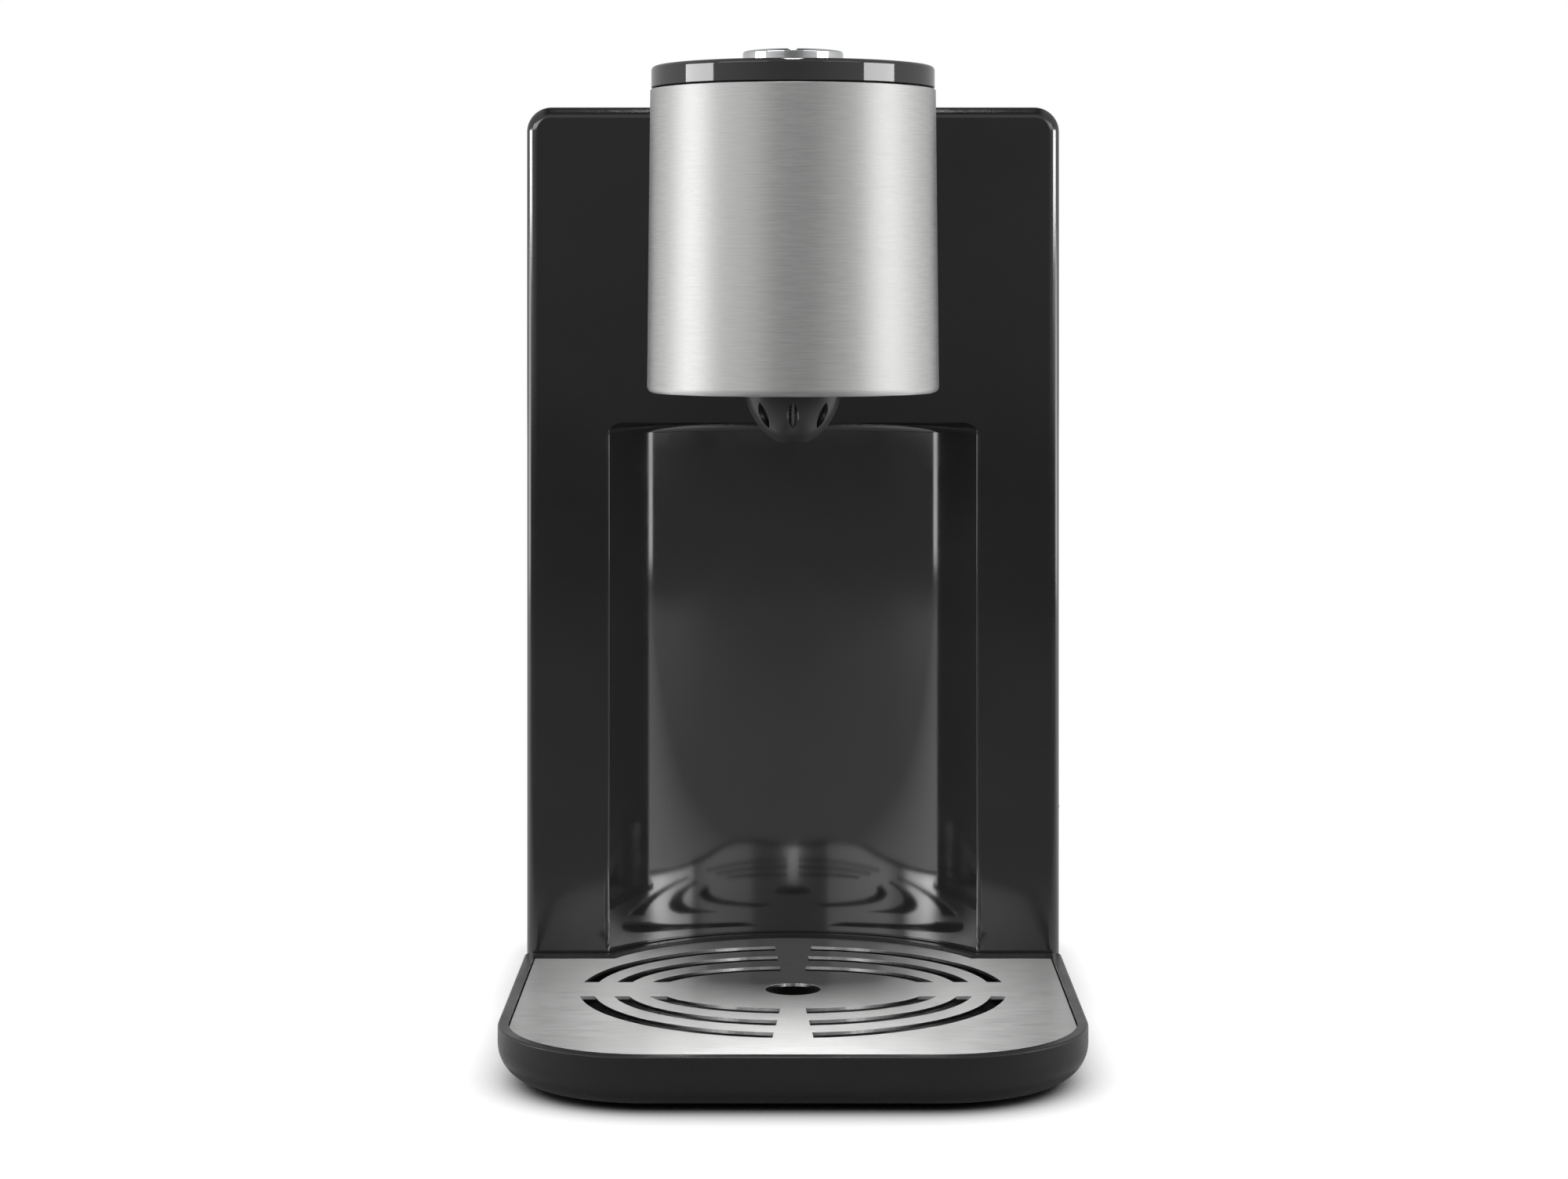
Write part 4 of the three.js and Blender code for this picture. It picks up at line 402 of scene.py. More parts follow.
def plastic(name, dark, light, rough, grain_scale, grain_depth, wave=None, settings=()):
    """Moulded plastic: cloudy colour, uneven roughness, moulding grain and, with a wave of (scale,
    depth), a slight waviness. The settings are (socket, value) pairs of the shader."""
    material, tree, shader = new_material(name)
    clouds = noise(tree, 35, 4)
    tree.links.new(tint(tree, clouds, dark, light), shader.inputs["Base Color"])
    patches = noise(tree, 90, 5, 0.6)
    tree.links.new(spread(tree, patches, *rough), shader.inputs["Roughness"])
    normal = None
    if wave:
        wave_scale, wave_depth = wave
        normal = bump(tree, shader, noise(tree, wave_scale, 1), wave_depth)
    grain = noise(tree, grain_scale, 2)
    bump(tree, shader, grain, grain_depth, over=normal)
    for socket, value in settings:
        shader.inputs[socket].default_value = value
    return material


def brushed(name, base, rough, stretch, depth, anisotropy, tangent):
    """Brushed steel: fine scratches all one way, in colour, roughness and bump."""
    material, tree, shader = new_material(name)
    shader.inputs["Metallic"].default_value = 1.0
    shader.inputs["Anisotropic"].default_value = anisotropy
    shader.inputs["Anisotropic Rotation"].default_value = 0.25
    lines = noise(tree, 1.0, 4, 0.65, stretch)
    low = tuple(c * 0.86 for c in base)
    high = tuple(min(c * 1.12, 1.0) for c in base)
    tree.links.new(tint(tree, lines, low, high), shader.inputs["Base Color"])
    tree.links.new(spread(tree, lines, *rough), shader.inputs["Roughness"])
    bump(tree, shader, lines, depth)
    node = tree.nodes.new("ShaderNodeTangent")
    if tangent == "radial":
        node.direction_type = "RADIAL"
        node.axis = "Z"
    else:
        node.direction_type = "UV_MAP"
        node.uv_map = tangent
    tree.links.new(node.outputs["Tangent"], shader.inputs["Tangent"])
    return material


gloss_black = plastic("gloss_black", (0.0095, 0.0095, 0.010), (0.0125, 0.0125, 0.013),
                      (0.10, 0.14), 2500, 0.000002, (26, 0.00002), [("IOR", 1.8)])
# Painted light: the alcove wall's copy of the gloss black has a lighter base colour that stands in for light
# on the wall; its higher IOR and lower roughness give a finer finish
alcove_black_painted_light = plastic("alcove_black_painted_light", (0.022, 0.022, 0.0225), (0.027, 0.027, 0.0275),
                       (0.05, 0.08), 2500, 0.000001, (26, 0.00001), [("IOR", 2.1)])
ring_black = plastic("ring_black", (0.038, 0.038, 0.039), (0.044, 0.044, 0.045),
                     (0.03, 0.06), 2500, 0.000001)
satin_black = plastic("satin_black", (0.012, 0.012, 0.0122), (0.017, 0.017, 0.0172),
                      (0.30, 0.42), 2600, 0.000012)
tray_black = plastic("tray_black", (0.021, 0.021, 0.0213), (0.026, 0.026, 0.0263),
                     (0.26, 0.36), 3200, 0.000006, settings=[("Specular IOR Level", 0.3)])
spout_grey = plastic("spout_grey", (0.042, 0.042, 0.044), (0.054, 0.054, 0.056),
                     (0.26, 0.36), 2400, 0.000008)
rubber = plastic("rubber", (0.010, 0.010, 0.010), (0.018, 0.018, 0.018), (0.65, 0.85), 1500, 0.00003)
silicone = plastic("silicone", (0.52, 0.50, 0.45), (0.60, 0.58, 0.53), (0.35, 0.5), 900, 0.00001,
                   settings=[("Subsurface Weight", 0.2)])
natural_plastic = plastic("natural_plastic", (0.60, 0.58, 0.53), (0.68, 0.66, 0.61), (0.38, 0.5),
                          1400, 0.00001)
circuit_green = plastic("circuit_green", (0.010, 0.05, 0.02), (0.02, 0.085, 0.035), (0.3, 0.5),
                        1200, 0.00002)
smoke = plastic("smoke_plastic", (0.40, 0.42, 0.43), (0.44, 0.46, 0.47), (0.04, 0.08), 1800, 0.0000005,
                (14, 0.00001), [("Transmission Weight", 1.0), ("IOR", 1.49)])

sleeve_steel = brushed("sleeve_steel", (0.62, 0.62, 0.615), (0.48, 0.62), (130, 130, 3000), 0.0000022,
                       0.75, "radial")
plate_steel = brushed("plate_steel", (0.66, 0.66, 0.655), (0.33, 0.40), (110, 2800, 40), 0.0000022,
                      1.0, "grain")
plain_steel = brushed("plain_steel", (0.50, 0.50, 0.50), (0.22, 0.38), (600, 600, 3000), 0.000002,
                      0.0, "radial")
chrome = brushed("chrome", (0.72, 0.73, 0.74), (0.05, 0.10), (60, 60, 4000), 0.0000003, 0.3, "radial")


def dress(obj, node, body, material):
    """Gives a piece its finish, attaches it to its body and hides the solid it stands for."""
    obj.data.materials.clear()
    obj.data.materials.append(material)
    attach(obj, body)
    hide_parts(node)


def paint(nodes, material):
    """Gives solids that keep their own shape their finish."""
    for node in nodes:
        obj = frame["nodes"][node]
        obj.data.materials.clear()
        obj.data.materials.append(material)


# Housing, rear cover and base

def panel_outline(inset, low):
    side, top = BODY - inset, HEIGHT - inset
    r = CORNER - inset
    return [(-side, low), (side, low), *arc(side - r, top - r, r, 0, QUARTER, 16),
            *arc(r - side, top - r, r, QUARTER, HALF, 16)]


def alcove_hollow():
    fillet = 4.0
    lip_x = math.sqrt((ALCOVE_RADIUS + LIP) ** 2 - (ALCOVE_CENTRE + LIP) ** 2)
    lip_angle = math.atan2(ALCOVE_CENTRE + LIP, lip_x)

    def outline(inset):
        return [(lip_x, -ALCOVE_CENTRE),
                *arc(lip_x, LIP, LIP + inset, -QUARTER, lip_angle - HALF, 10),
                *arc(0, -ALCOVE_CENTRE, ALCOVE_RADIUS - inset, lip_angle, HALF - lip_angle, 96)[1:-1],
                *arc(-lip_x, LIP, LIP + inset, -lip_angle, -QUARTER, 10),
                (-lip_x, -ALCOVE_CENTRE)]

    rings = [level(outline(0), -OVER)]
    rings += [level(outline(inset), ALCOVE_TOP - fillet + rise) for inset, rise in rounding(fillet)]
    return skin("alcove_hollow", rings)


def polish_alcove_and_paint_light(shell):
    """The wall of the alcove has a finer, more mirror-like finish than the rest of the moulding, and a
    lighter base colour, which is painted light.
    """
    shell.data.materials.append(alcove_black_painted_light)
    behind_lip, slack = 0.6, 1
    low = point(-OPENING - slack, behind_lip, SHELL_LOW - slack)
    high = point(OPENING + slack, ALCOVE_DEPTH + slack / 2, ALCOVE_TOP + slack / 2)
    for face in shell.data.polygons:
        if all(a <= c <= b for a, c, b in zip(low, face.center, high)):
            face.material_index = 1


def housing():
    neck_half, neck_low, neck_high = 22, 214, 276
    rings = [[(x, EDGE_ROUND - rise, z) for x, z in panel_outline(inset, SHELL_LOW)]
             for inset, rise in reversed(rounding(EDGE_ROUND, 10))]
    rings.append([(x, DEPTH, z) for x, z in panel_outline(0, SHELL_LOW)])
    shell = skin("housing_shell", rings)
    inside = prism_back("inside", panel_outline(WALL, -OVER), WALL, DEPTH + OVER)
    cut(inside, rod("drum", 0, -ALCOVE_CENTRE, ALCOVE_RADIUS + WALL, -OVER - 5, ALCOVE_TOP + WALL, 144))
    neck_window = block("window", -neck_half, neck_half, -OVER, OVER, neck_low, neck_high)
    opening = switch_block("opening", BODY - WALL - 0.3, BODY + OVER, SWITCH_HALF + FIT,
                           SWITCH_HALF_HEIGHT + FIT)
    cut(shell, inside, alcove_hollow(), neck_window, opening)
    dress(smooth(shell), "front_housing", "frame", gloss_black)
    polish_alcove_and_paint_light(shell)


def back_cover():
    rail_half, rail_low, rail_high, rail_depth = 3, 52, 255.5, 4
    stand_front, stand_x, stand_heights = 58.2, 39, (68, 146)
    plate = prism_back("back_cover", panel_outline(0, SHELL_LOW), COVER_FRONT, COVER_BACK)
    soften(plate, 0.4)
    window = block("window", -PASSAGE_HALF, PASSAGE_HALF, 0, COVER_BACK + OVER, 0, PASSAGE_TOP)
    rails = [block("rail", x - rail_half, x + rail_half, COVER_BACK - 1.2, COVER_BACK + rail_depth,
                   rail_low, rail_high) for x in (-RAIL_X, RAIL_X)]
    for rail in rails:
        soften(rail, 0.6, 3)
    join(plate, *rails)
    holes = []
    for place in COVER_SCREWS.values():
        holes.append(rod("hole", place.x, place.z, SCREW_HOLE, 50, 80, 24, "y"))
        holes.append(rod("hole", place.x, place.z, SINK, COVER_BACK - SINK_DEPTH, 80, 48, "y"))
    stands = [rod("stand", x, z, 3, stand_front, COVER_FRONT + 1, 32, "y")
              for x in (-stand_x, stand_x) for z in stand_heights]
    join(plate, *stands)
    cut(plate, window, *holes)
    dress(smooth(plate), "rear_cover", "frame", satin_black)


def base_plate():
    outline = rounded_rectangle(-BODY, BODY, 0, DOCK_REAR, (EDGE_ROUND, EDGE_ROUND, 22, 22), 16)
    tongue_outline = rounded_rectangle(-70, 70, -118, DEPTH, (30, 30, 1.5, 1.5), 20)
    plate = prism("base_plate_fine", outline, BASE_LOW, BASE_TOP)
    join(plate, prism("tongue", tongue_outline, BASE_LOW, BASE_TOP))
    soften(plate, 0.35)
    holes = [rod("recess", place.x, place.y, FOOT_RADIUS + FIT, -5, place.high + FIT, 48)
             for place in FEET.values()]
    for place in BASE_SCREWS.values():
        holes.append(rod("hole", place.x, place.y, SCREW_HOLE, -5, 10, 24))
        holes.append(rod("hole", place.x, place.y, SINK, -5, BASE_LOW + SINK_DEPTH, 40))
    cut(plate, *holes)
    dress(smooth(plate), "base_plate", "frame", satin_black)


def foot(name, place):
    profile = [(0, 0.35), (3.2, 0.35), (3.6, 0), (6.3, 0), (6.75, 0.12), (6.95, 0.4), (FOOT_RADIUS, 0.8),
               (FOOT_RADIUS, place.high), (0, place.high)]
    piece = turned(name + "_fine", profile, place.x, place.y, 64)
    dress(smooth(piece), name, "frame", rubber)


def screw(name, x, y, head_end, inward, axis):
    """A pan-head screw with a cross recess. inward is the sign of its direction along the axis."""
    def at(distance):
        return head_end + inward * distance

    length, head, recess = 9, 1.5, 0.9
    half_long, half_narrow = 1.5, 0.28
    profile = [(0, at(0)), (1.9, at(0)), (2.5, at(0.15)), (2.85, at(0.5)), (2.95, at(0.9)),
               (3, at(head)), (1.5, at(head)), (1.5, at(length - 1)), (0.7, at(length)), (0, at(length))]
    piece = turned(name + "_fine", profile, x, y, 40, axis)
    arms = []
    for wide, narrow in ((half_long, half_narrow), (half_narrow, half_long)):
        along = sorted((at(-1), at(recess)))
        across = (y - narrow, y + narrow)
        sides = (*across, *along) if axis == "z" else (*along, *across)
        arms.append(block("arm", x - wide, x + wide, *sides))
    cut(piece, *arms)
    dress(smooth(piece), name, "frame", plain_steel)


# Tray and grate

def tray_outline(inset, fine=20, rear_fine=6, lobe_fine=72):
    """The tray seen from above: a wide round front, and a lobe that fills the alcove."""
    side, front, rear = TRAY_HALF - inset, inset - TRAY_REACH, -FIT - inset
    r = 45.0 - inset
    rear_r = max(2.0 - inset, 0.3)
    lobe = ALCOVE_RADIUS - LOBE_GAP - inset
    lobe_angle = math.asin((ALCOVE_CENTRE + rear) / lobe)
    return [*arc(r - side, front + r, r, HALF, HALF + QUARTER, fine),
            *arc(side - r, front + r, r, -QUARTER, 0, fine),
            *arc(side - rear_r, rear - rear_r, rear_r, 0, QUARTER, rear_fine),
            *arc(0, -ALCOVE_CENTRE, lobe, lobe_angle, HALF - lobe_angle, lobe_fine),
            *arc(rear_r - side, rear - rear_r, rear_r, QUARTER, HALF, rear_fine)]


def tray():
    low_round, top_round = 10, 0.7
    rim, basin_wall = 3.1, 5.6
    seat, basin_floor = 14.5, 6.8
    pocket, pocket_round, pocket_rear, pocket_top = 9.5, 35.5, 70, 4.8
    rings = [level(tray_outline(inset), TRAY_LOW + low_round - rise)
             for inset, rise in reversed(rounding(low_round, 14))]
    rings += [level(tray_outline(inset), TRAY_TOP - top_round + rise)
              for inset, rise in rounding(top_round, 5)]
    shell = skin("tray_shell", rings)
    under = rounded_rectangle(pocket - TRAY_HALF, TRAY_HALF - pocket, pocket - TRAY_REACH, pocket_rear,
                              (pocket_round, pocket_round, 2, 2), 20)
    cut(shell, prism("recess", tray_outline(rim), seat, TRAY_TOP + OVER),
        prism("basin", tray_outline(basin_wall), basin_floor, TRAY_TOP + OVER),
        prism("under", under, -OVER, pocket_top))
    dress(smooth(shell), "drip_tray", "tray", tray_black)


def oval(name, half_width, half_depth, overlap):
    """An oval about the head's axis that reaches past both faces of the grate."""
    count = 160
    outline = [(half_width * math.cos(FULL * i / count), AXIS + half_depth * math.sin(FULL * i / count))
               for i in range(count)]
    return prism(name, outline, GRATE_TOP - overlap, GRATE_TOP + overlap)


def slot_ring(half_width, half_depth, reach):
    """The four slots of one oval, left open by a strip across and a bridge that widens outwards."""
    slot_width, slot_depth = 4.4, 6.8
    strip_half, bridge_half, bridge_growth = 10, 2.3, 0.056
    low, high = GRATE_TOP - 9, GRATE_TOP + 9
    end_half = bridge_half + reach * bridge_growth
    bridge = [(-end_half, AXIS - reach), (end_half, AXIS - reach), (bridge_half, AXIS),
              (end_half, AXIS + reach), (-end_half, AXIS + reach), (-bridge_half, AXIS)]
    return cut(oval("band", half_width, half_depth, 5),
               oval("inner", half_width - slot_width, half_depth - slot_depth, 8),
               block("strip", -TRAY_HALF, TRAY_HALF, AXIS - strip_half, AXIS + strip_half, low, high),
               prism("bridge", bridge, low, high))


def grate():
    edge, thickness, hole_radius = 3.4, 1, 8.5
    ring_width, ring_depth = 65.5, 65.0
    width_step, depth_step = 9.9, 15.7
    plate = prism("grate_plate", tray_outline(edge), GRATE_TOP - thickness, GRATE_TOP)
    slots = [slot_ring(ring_width - width_step * i, ring_depth - depth_step * i, ring_width)
             for i in range(3)]
    cut(plate, *slots, rod("hole", 0, AXIS, hole_radius, GRATE_TOP - 5, GRATE_TOP + 5, 72))
    soften(plate, 0.05, 2, 60)
    grain_map(plate)
    dress(plate, "drip_grate", "grate", plate_steel)


# Head

def sleeve_radius(z):
    return HEAD_RADIUS + (HEAD_RADIUS_TOP - HEAD_RADIUS) * (z - HEAD_LOW) / (HEAD_TOP - HEAD_LOW)


def sleeve():
    edge, mouth = 2.0, 40
    window_half, window_low, window_high = 31, 204.5, 287.5
    low = [(HEAD_RADIUS - inset, HEAD_LOW + edge - rise) for inset, rise in reversed(rounding(edge, 10))]
    profile = [(mouth, HEAD_LOW + 0.15), (mouth + 0.15, HEAD_LOW), *low,
               (HEAD_RADIUS_TOP + 0.01, HEAD_TOP - 0.25), (HEAD_RADIUS_TOP - 0.08, HEAD_TOP - 0.07),
               (HEAD_RADIUS_TOP - 0.25, HEAD_TOP), (HEAD_RADIUS_TOP - 0.85, HEAD_TOP),
               (HEAD_RADIUS_TOP - 1, HEAD_TOP - 0.15), (HEAD_RADIUS - 1.1, HEAD_LOW + 2),
               (HEAD_RADIUS - 2, HEAD_LOW + 1), (mouth, HEAD_LOW + 1)]
    tube = turned("sleeve_tube", profile, segments=240)
    cut(tube, block("window", -window_half, window_half, AXIS, OVER, window_low, window_high))
    dress(smooth(tube), "head_sleeve", "frame", sleeve_steel)


def head_floor():
    low, high = span("head_bottom")
    inner = 15.3
    outer = sleeve_radius(low) - 2 - FIT
    profile = [(inner, low), (inner + 0.2, low), (outer, low), (outer, high), (inner, high)]
    plate = turned("head_floor", profile)
    dress(smooth(plate), "head_bottom", "frame", satin_black)


def almond(half_width, half_height, middle, count=12):
    """Two arcs that meet in points above and below, as (x, z)."""
    sagitta = (half_height ** 2 - half_width ** 2) / (2 * half_width)
    painted_shade_sweep = math.atan2(half_height, sagitta)
    radius = sagitta + half_width
    return [*arc(-sagitta, middle, radius, -painted_shade_sweep, painted_shade_sweep, count),
            *arc(sagitta, middle, radius, HALF - painted_shade_sweep, HALF + painted_shade_sweep, count)[1:-1]]


def spout():
    mouth, deepest, curve_depth, wall = 14.8, 15.7, 16.2, 1.4
    outlet, flange_radius = 4.5, 18
    flange_top = solid("spout_shroud").high
    flange_low = flange_top - 1.5
    slot_half_width, slot_half_height, slot_drop = 1.75, 4.0, 2.7
    slot_count, slot_inner, slot_outer = 8, 7.4, 22.2

    def bowl_radius(drop):
        return mouth * math.sqrt(max(1 - (drop / curve_depth) ** 1.6, 0))

    drops = [deepest * (1 - (i / 24) ** 1.5) for i in range(25)]
    outside = [(bowl_radius(drop), HEAD_LOW - drop) for drop in drops]
    inside = [(max(bowl_radius(drop) - wall, 0), HEAD_LOW - drop + wall * drop / deepest)
              for drop in drops]
    profile = [(0, HEAD_LOW - deepest), *outside, (mouth, flange_low), (flange_radius, flange_low),
               (flange_radius, flange_top), (mouth - wall, flange_top), *reversed(inside),
               (0, HEAD_LOW - deepest + wall)]
    bowl = turned("spout_bowl", profile, segments=144)
    cuts = [rod("outlet", 0, AXIS, outlet, HEAD_LOW - 30, HEAD_LOW, 64)]
    outline = almond(slot_half_width, slot_half_height, HEAD_LOW - slot_drop - slot_half_height)
    for i in range(slot_count):
        c, s = math.cos(FULL * i / slot_count), math.sin(FULL * i / slot_count)
        cuts.append(skin("slot", [[(x * c - y * s, AXIS + x * s + y * c, z) for x, z in outline]
                                  for y in (-slot_outer, -slot_inner)]))
    cut(bowl, *cuts)
    dress(smooth(bowl, 40), "spout_shroud", "frame", spout_grey)


def nozzle():
    bore, barb_bore, outside, flange = 2.5, 1.5, 4, 9
    flange_depth, neck = 2, 14
    tip = solid("nozzle").low
    top = solid("nozzle_seal").high + FIT + flange_depth
    low = top + neck
    profile = [(bore, tip), (3.5, tip), (3.9, tip + 0.25), (outside, tip + 0.6),
               (outside, top - flange_depth), (flange, top - flange_depth), (flange, top), (outside, top),
               (outside, low), (barb_bore, low), (barb_bore, top), (bore, top)]
    piece = turned("nozzle_fine", profile, segments=72)
    ridges = [(1.6, 2.2), (1.8, 2.5), (4.4, 2.1), (4.6, 2.5), (7.2, 2.1), (7.4, 2.5), (9.8, 2.0)]
    barb = turned("barb", [(barb_bore, low - 1), (2.2, low - 1), *[(r, low + rise) for rise, r in ridges],
                           (barb_bore, low + 10)], segments=48)
    join(piece, barb)
    dress(smooth(piece), "nozzle", "frame", plain_steel)


def ring():
    edge, skirt, ceiling = 1.2, 2.5, 2.5
    inner = KNOB_RADIUS + 0.6
    collar = inner + 1.6
    top = [(RING_RADIUS - inset, RING_TOP - edge + rise) for inset, rise in rounding(edge)]
    profile = [(RING_RADIUS - 0.2, RING_LOW), (RING_RADIUS, RING_LOW + 0.2), *top,
               (inner + 0.5, RING_TOP), (inner + 0.15, RING_TOP - 0.15), (inner, RING_TOP - 0.5),
               (inner, RING_LOW), (collar, RING_LOW), (collar, RING_TOP - ceiling),
               (RING_RADIUS - skirt, RING_TOP - ceiling), (RING_RADIUS - skirt, RING_LOW)]
    piece = turned("ring_fine", profile, segments=240)
    dress(smooth(piece), "control_ring", "frame", ring_black)


def knob():
    edge, thickness, hub_inner, hub_outer = 0.8, 2.5, 3.4, 5.6
    top = [(KNOB_RADIUS - inset, KNOB_TOP - edge + rise) for inset, rise in rounding(edge)]
    under = KNOB_TOP - thickness
    hub_low = KNOB_LOW + 0.3
    profile = [(13.4, KNOB_LOW), (15.3, KNOB_LOW), (KNOB_RADIUS, KNOB_LOW + 0.1), *top,
               (13.6, KNOB_TOP), (13.3, KNOB_TOP - 0.12), (12.9, KNOB_TOP - 0.2), (6, KNOB_TOP - 0.45),
               (0, KNOB_TOP - 0.55), (0, under), (hub_inner, under), (hub_inner, hub_low),
               (hub_outer, hub_low), (hub_outer, under), (13.4, under)]
    piece = turned("knob_fine", profile, segments=200)
    dress(smooth(piece), "knob", "dial", chrome)


# Power switch

def power_switch():
    face = BODY + 1
    body_depth, well_depth = 16, 8
    bezel_half, bezel_half_height = 7.5, 10.5
    well_half, well_half_height = 5.6, 8.7
    bezel = switch_block("switch_bezel", BODY + 0.3, face, bezel_half, bezel_half_height)
    soften(bezel, 0.3, 3)
    body = switch_block("body", BODY - body_depth, face - 0.5, SWITCH_HALF, SWITCH_HALF_HEIGHT)
    well = switch_block("well", face - well_depth, face + OVER, well_half, well_half_height)
    join(bezel, body)
    cut(bezel, well)
    dress(smooth(bezel), "power_switch", "frame", satin_black)


def rocker():
    """The rocker in its rest position, with a dished face, tipped about its pivot."""
    half_height, half_width, proud, dip, thick, pivot = 8.1, 5.1, 0.9, 0.7, 4.2, 1.2
    tilt = math.radians(6.5)
    pivot_x = BODY + 1 - pivot
    count = 16
    heights = [-half_height + 2 * half_height * i / count for i in range(count + 1)]
    face = [(pivot + proud - dip * (1 - abs(h / half_height) ** 1.3), h) for h in heights]
    outline = [(pivot - thick, -half_height), *face, (pivot - thick, half_height)]
    tilted = [(pivot_x + u * math.cos(tilt) + h * math.sin(tilt),
               SWITCH_Z - u * math.sin(tilt) + h * math.cos(tilt)) for u, h in outline]
    piece = prism_back("rocker_fine", tilted, SWITCH_Y - half_width, SWITCH_Y + half_width)
    soften(piece, 0.25, 2, 50)
    dress(smooth(piece), "power_rocker", "switch_rocker", gloss_black)


# Tank, lid, valve and dock

def tank_plan(inset, rear=REAR):
    front_r, rear_r = max(3.0 - inset, 0.3), 22.0 - inset
    return rounded_rectangle(inset - BODY, BODY - inset, TANK_FRONT + inset, rear - inset,
                             (front_r, front_r, rear_r, rear_r), 16)


def tank():
    edge, wall, floor_thickness = 1.2, 2.2, 2.5
    groove_half, groove_depth, groove_top = 3.5, 4.5, 256
    collar_radius, collar_depth, collar_bore, outlet = 14, 12, 11.8, 9.5
    rings = [level(tank_plan(inset), TANK_LOW + edge - rise) for inset, rise in reversed(rounding(edge, 5))]
    rings.append(level(tank_plan(0), TANK_TOP - 0.4))
    rings.append(level(tank_plan(0.3), TANK_TOP))
    shell = skin("tank_shell", rings)
    inside = prism("inside", tank_plan(wall), TANK_LOW + floor_thickness, TANK_TOP + OVER)
    wall_half = groove_half + wall
    cut(inside, *[block("wall", x - wall_half, x + wall_half, 50, COVER_BACK + groove_depth + wall,
                        TANK_LOW, groove_top + wall) for x in (-RAIL_X, RAIL_X)])
    cut(shell, inside)
    join(shell, rod("collar", 0, TANK_MIDDLE, collar_radius, TANK_LOW - collar_depth, TANK_LOW + 1.2, 72))
    grooves = [block("groove", x - groove_half, x + groove_half, 50, COVER_BACK + groove_depth,
                     TANK_LOW - OVER, groove_top) for x in (-RAIL_X, RAIL_X)]
    notch = block("notch", -HINGE_REACH, HINGE_REACH, 50, HINGE_Y + BARREL_ROOM, HINGE_Z - BARREL_ROOM,
                  TANK_TOP + OVER)
    cut(shell, rod("bore", 0, TANK_MIDDLE, collar_bore, TANK_LOW - 40, TANK_LOW, 72),
        rod("outlet", 0, TANK_MIDDLE, outlet, TANK_LOW - 30, TANK_LOW + 30, 72), notch, *grooves)
    for low, high in ((-EAR_REACH, -HINGE_REACH), (HINGE_REACH, EAR_REACH)):
        join(shell, rod("ear", HINGE_Y, HINGE_Z, BARREL, low, high, 32, "x"),
             block("foot", low, high, TANK_FRONT, HINGE_Y + BARREL / 2, HINGE_Z - 4, HINGE_Z))
    cut(shell, rod("pin", HINGE_Y, HINGE_Z, PIN_HOLE, -75, 75, 24, "x"))
    dress(smooth(shell), "water_tank", "tank", smoke)


def lid():
    edge, skirt_inset, skirt_wall, skirt_depth = 0.8, 2.8, 1.5, 4
    knuckle_reach, gap_reach = 38, 45
    rings = [level(tank_plan(0), HINGE_Z)]
    rings += [level(tank_plan(inset), HEIGHT - edge + rise) for inset, rise in rounding(edge, 5)]
    plate = skin("lid_plate", rings)
    skirt = prism("skirt", tank_plan(skirt_inset), HINGE_Z - skirt_depth, HINGE_Z + 1.1)
    cut(skirt, prism("hollow", tank_plan(skirt_inset + skirt_wall), HINGE_Z - OVER, HINGE_Z),
        block("front", -BODY - 5, BODY + 5, 40, TANK_FRONT + 9, HINGE_Z - OVER, HINGE_Z))
    join(plate, skirt)
    gaps = [block("gap", low, high, 40, HINGE_Y + BARREL_ROOM, HINGE_Z - OVER, HEIGHT + OVER)
            for low, high in ((-gap_reach, -knuckle_reach), (knuckle_reach, gap_reach))]
    cut(plate, block("strip", -BODY - 5, BODY + 5, 40, HINGE_Y, HINGE_Z - OVER, HEIGHT + OVER), *gaps)
    join(plate, rod("knuckle", HINGE_Y, HINGE_Z, BARREL, -knuckle_reach, knuckle_reach, 32, "x"))
    cut(plate, rod("pin", HINGE_Y, HINGE_Z, PIN_HOLE, -BODY, BODY, 24, "x"))
    dress(smooth(plate), "tank_lid", "lid", satin_black)


def lid_pin():
    end, radius, chamfer = pin_solid.right, 0.9, 0.2
    tip = radius - chamfer
    profile = [(0, -end), (tip, -end), (radius, chamfer - end), (radius, end - chamfer), (tip, end), (0, end)]
    piece = turned("lid_pin_fine", profile, HINGE_Y, HINGE_Z, 32, "x")
    dress(smooth(piece), "lid_pin", "tank", plain_steel)


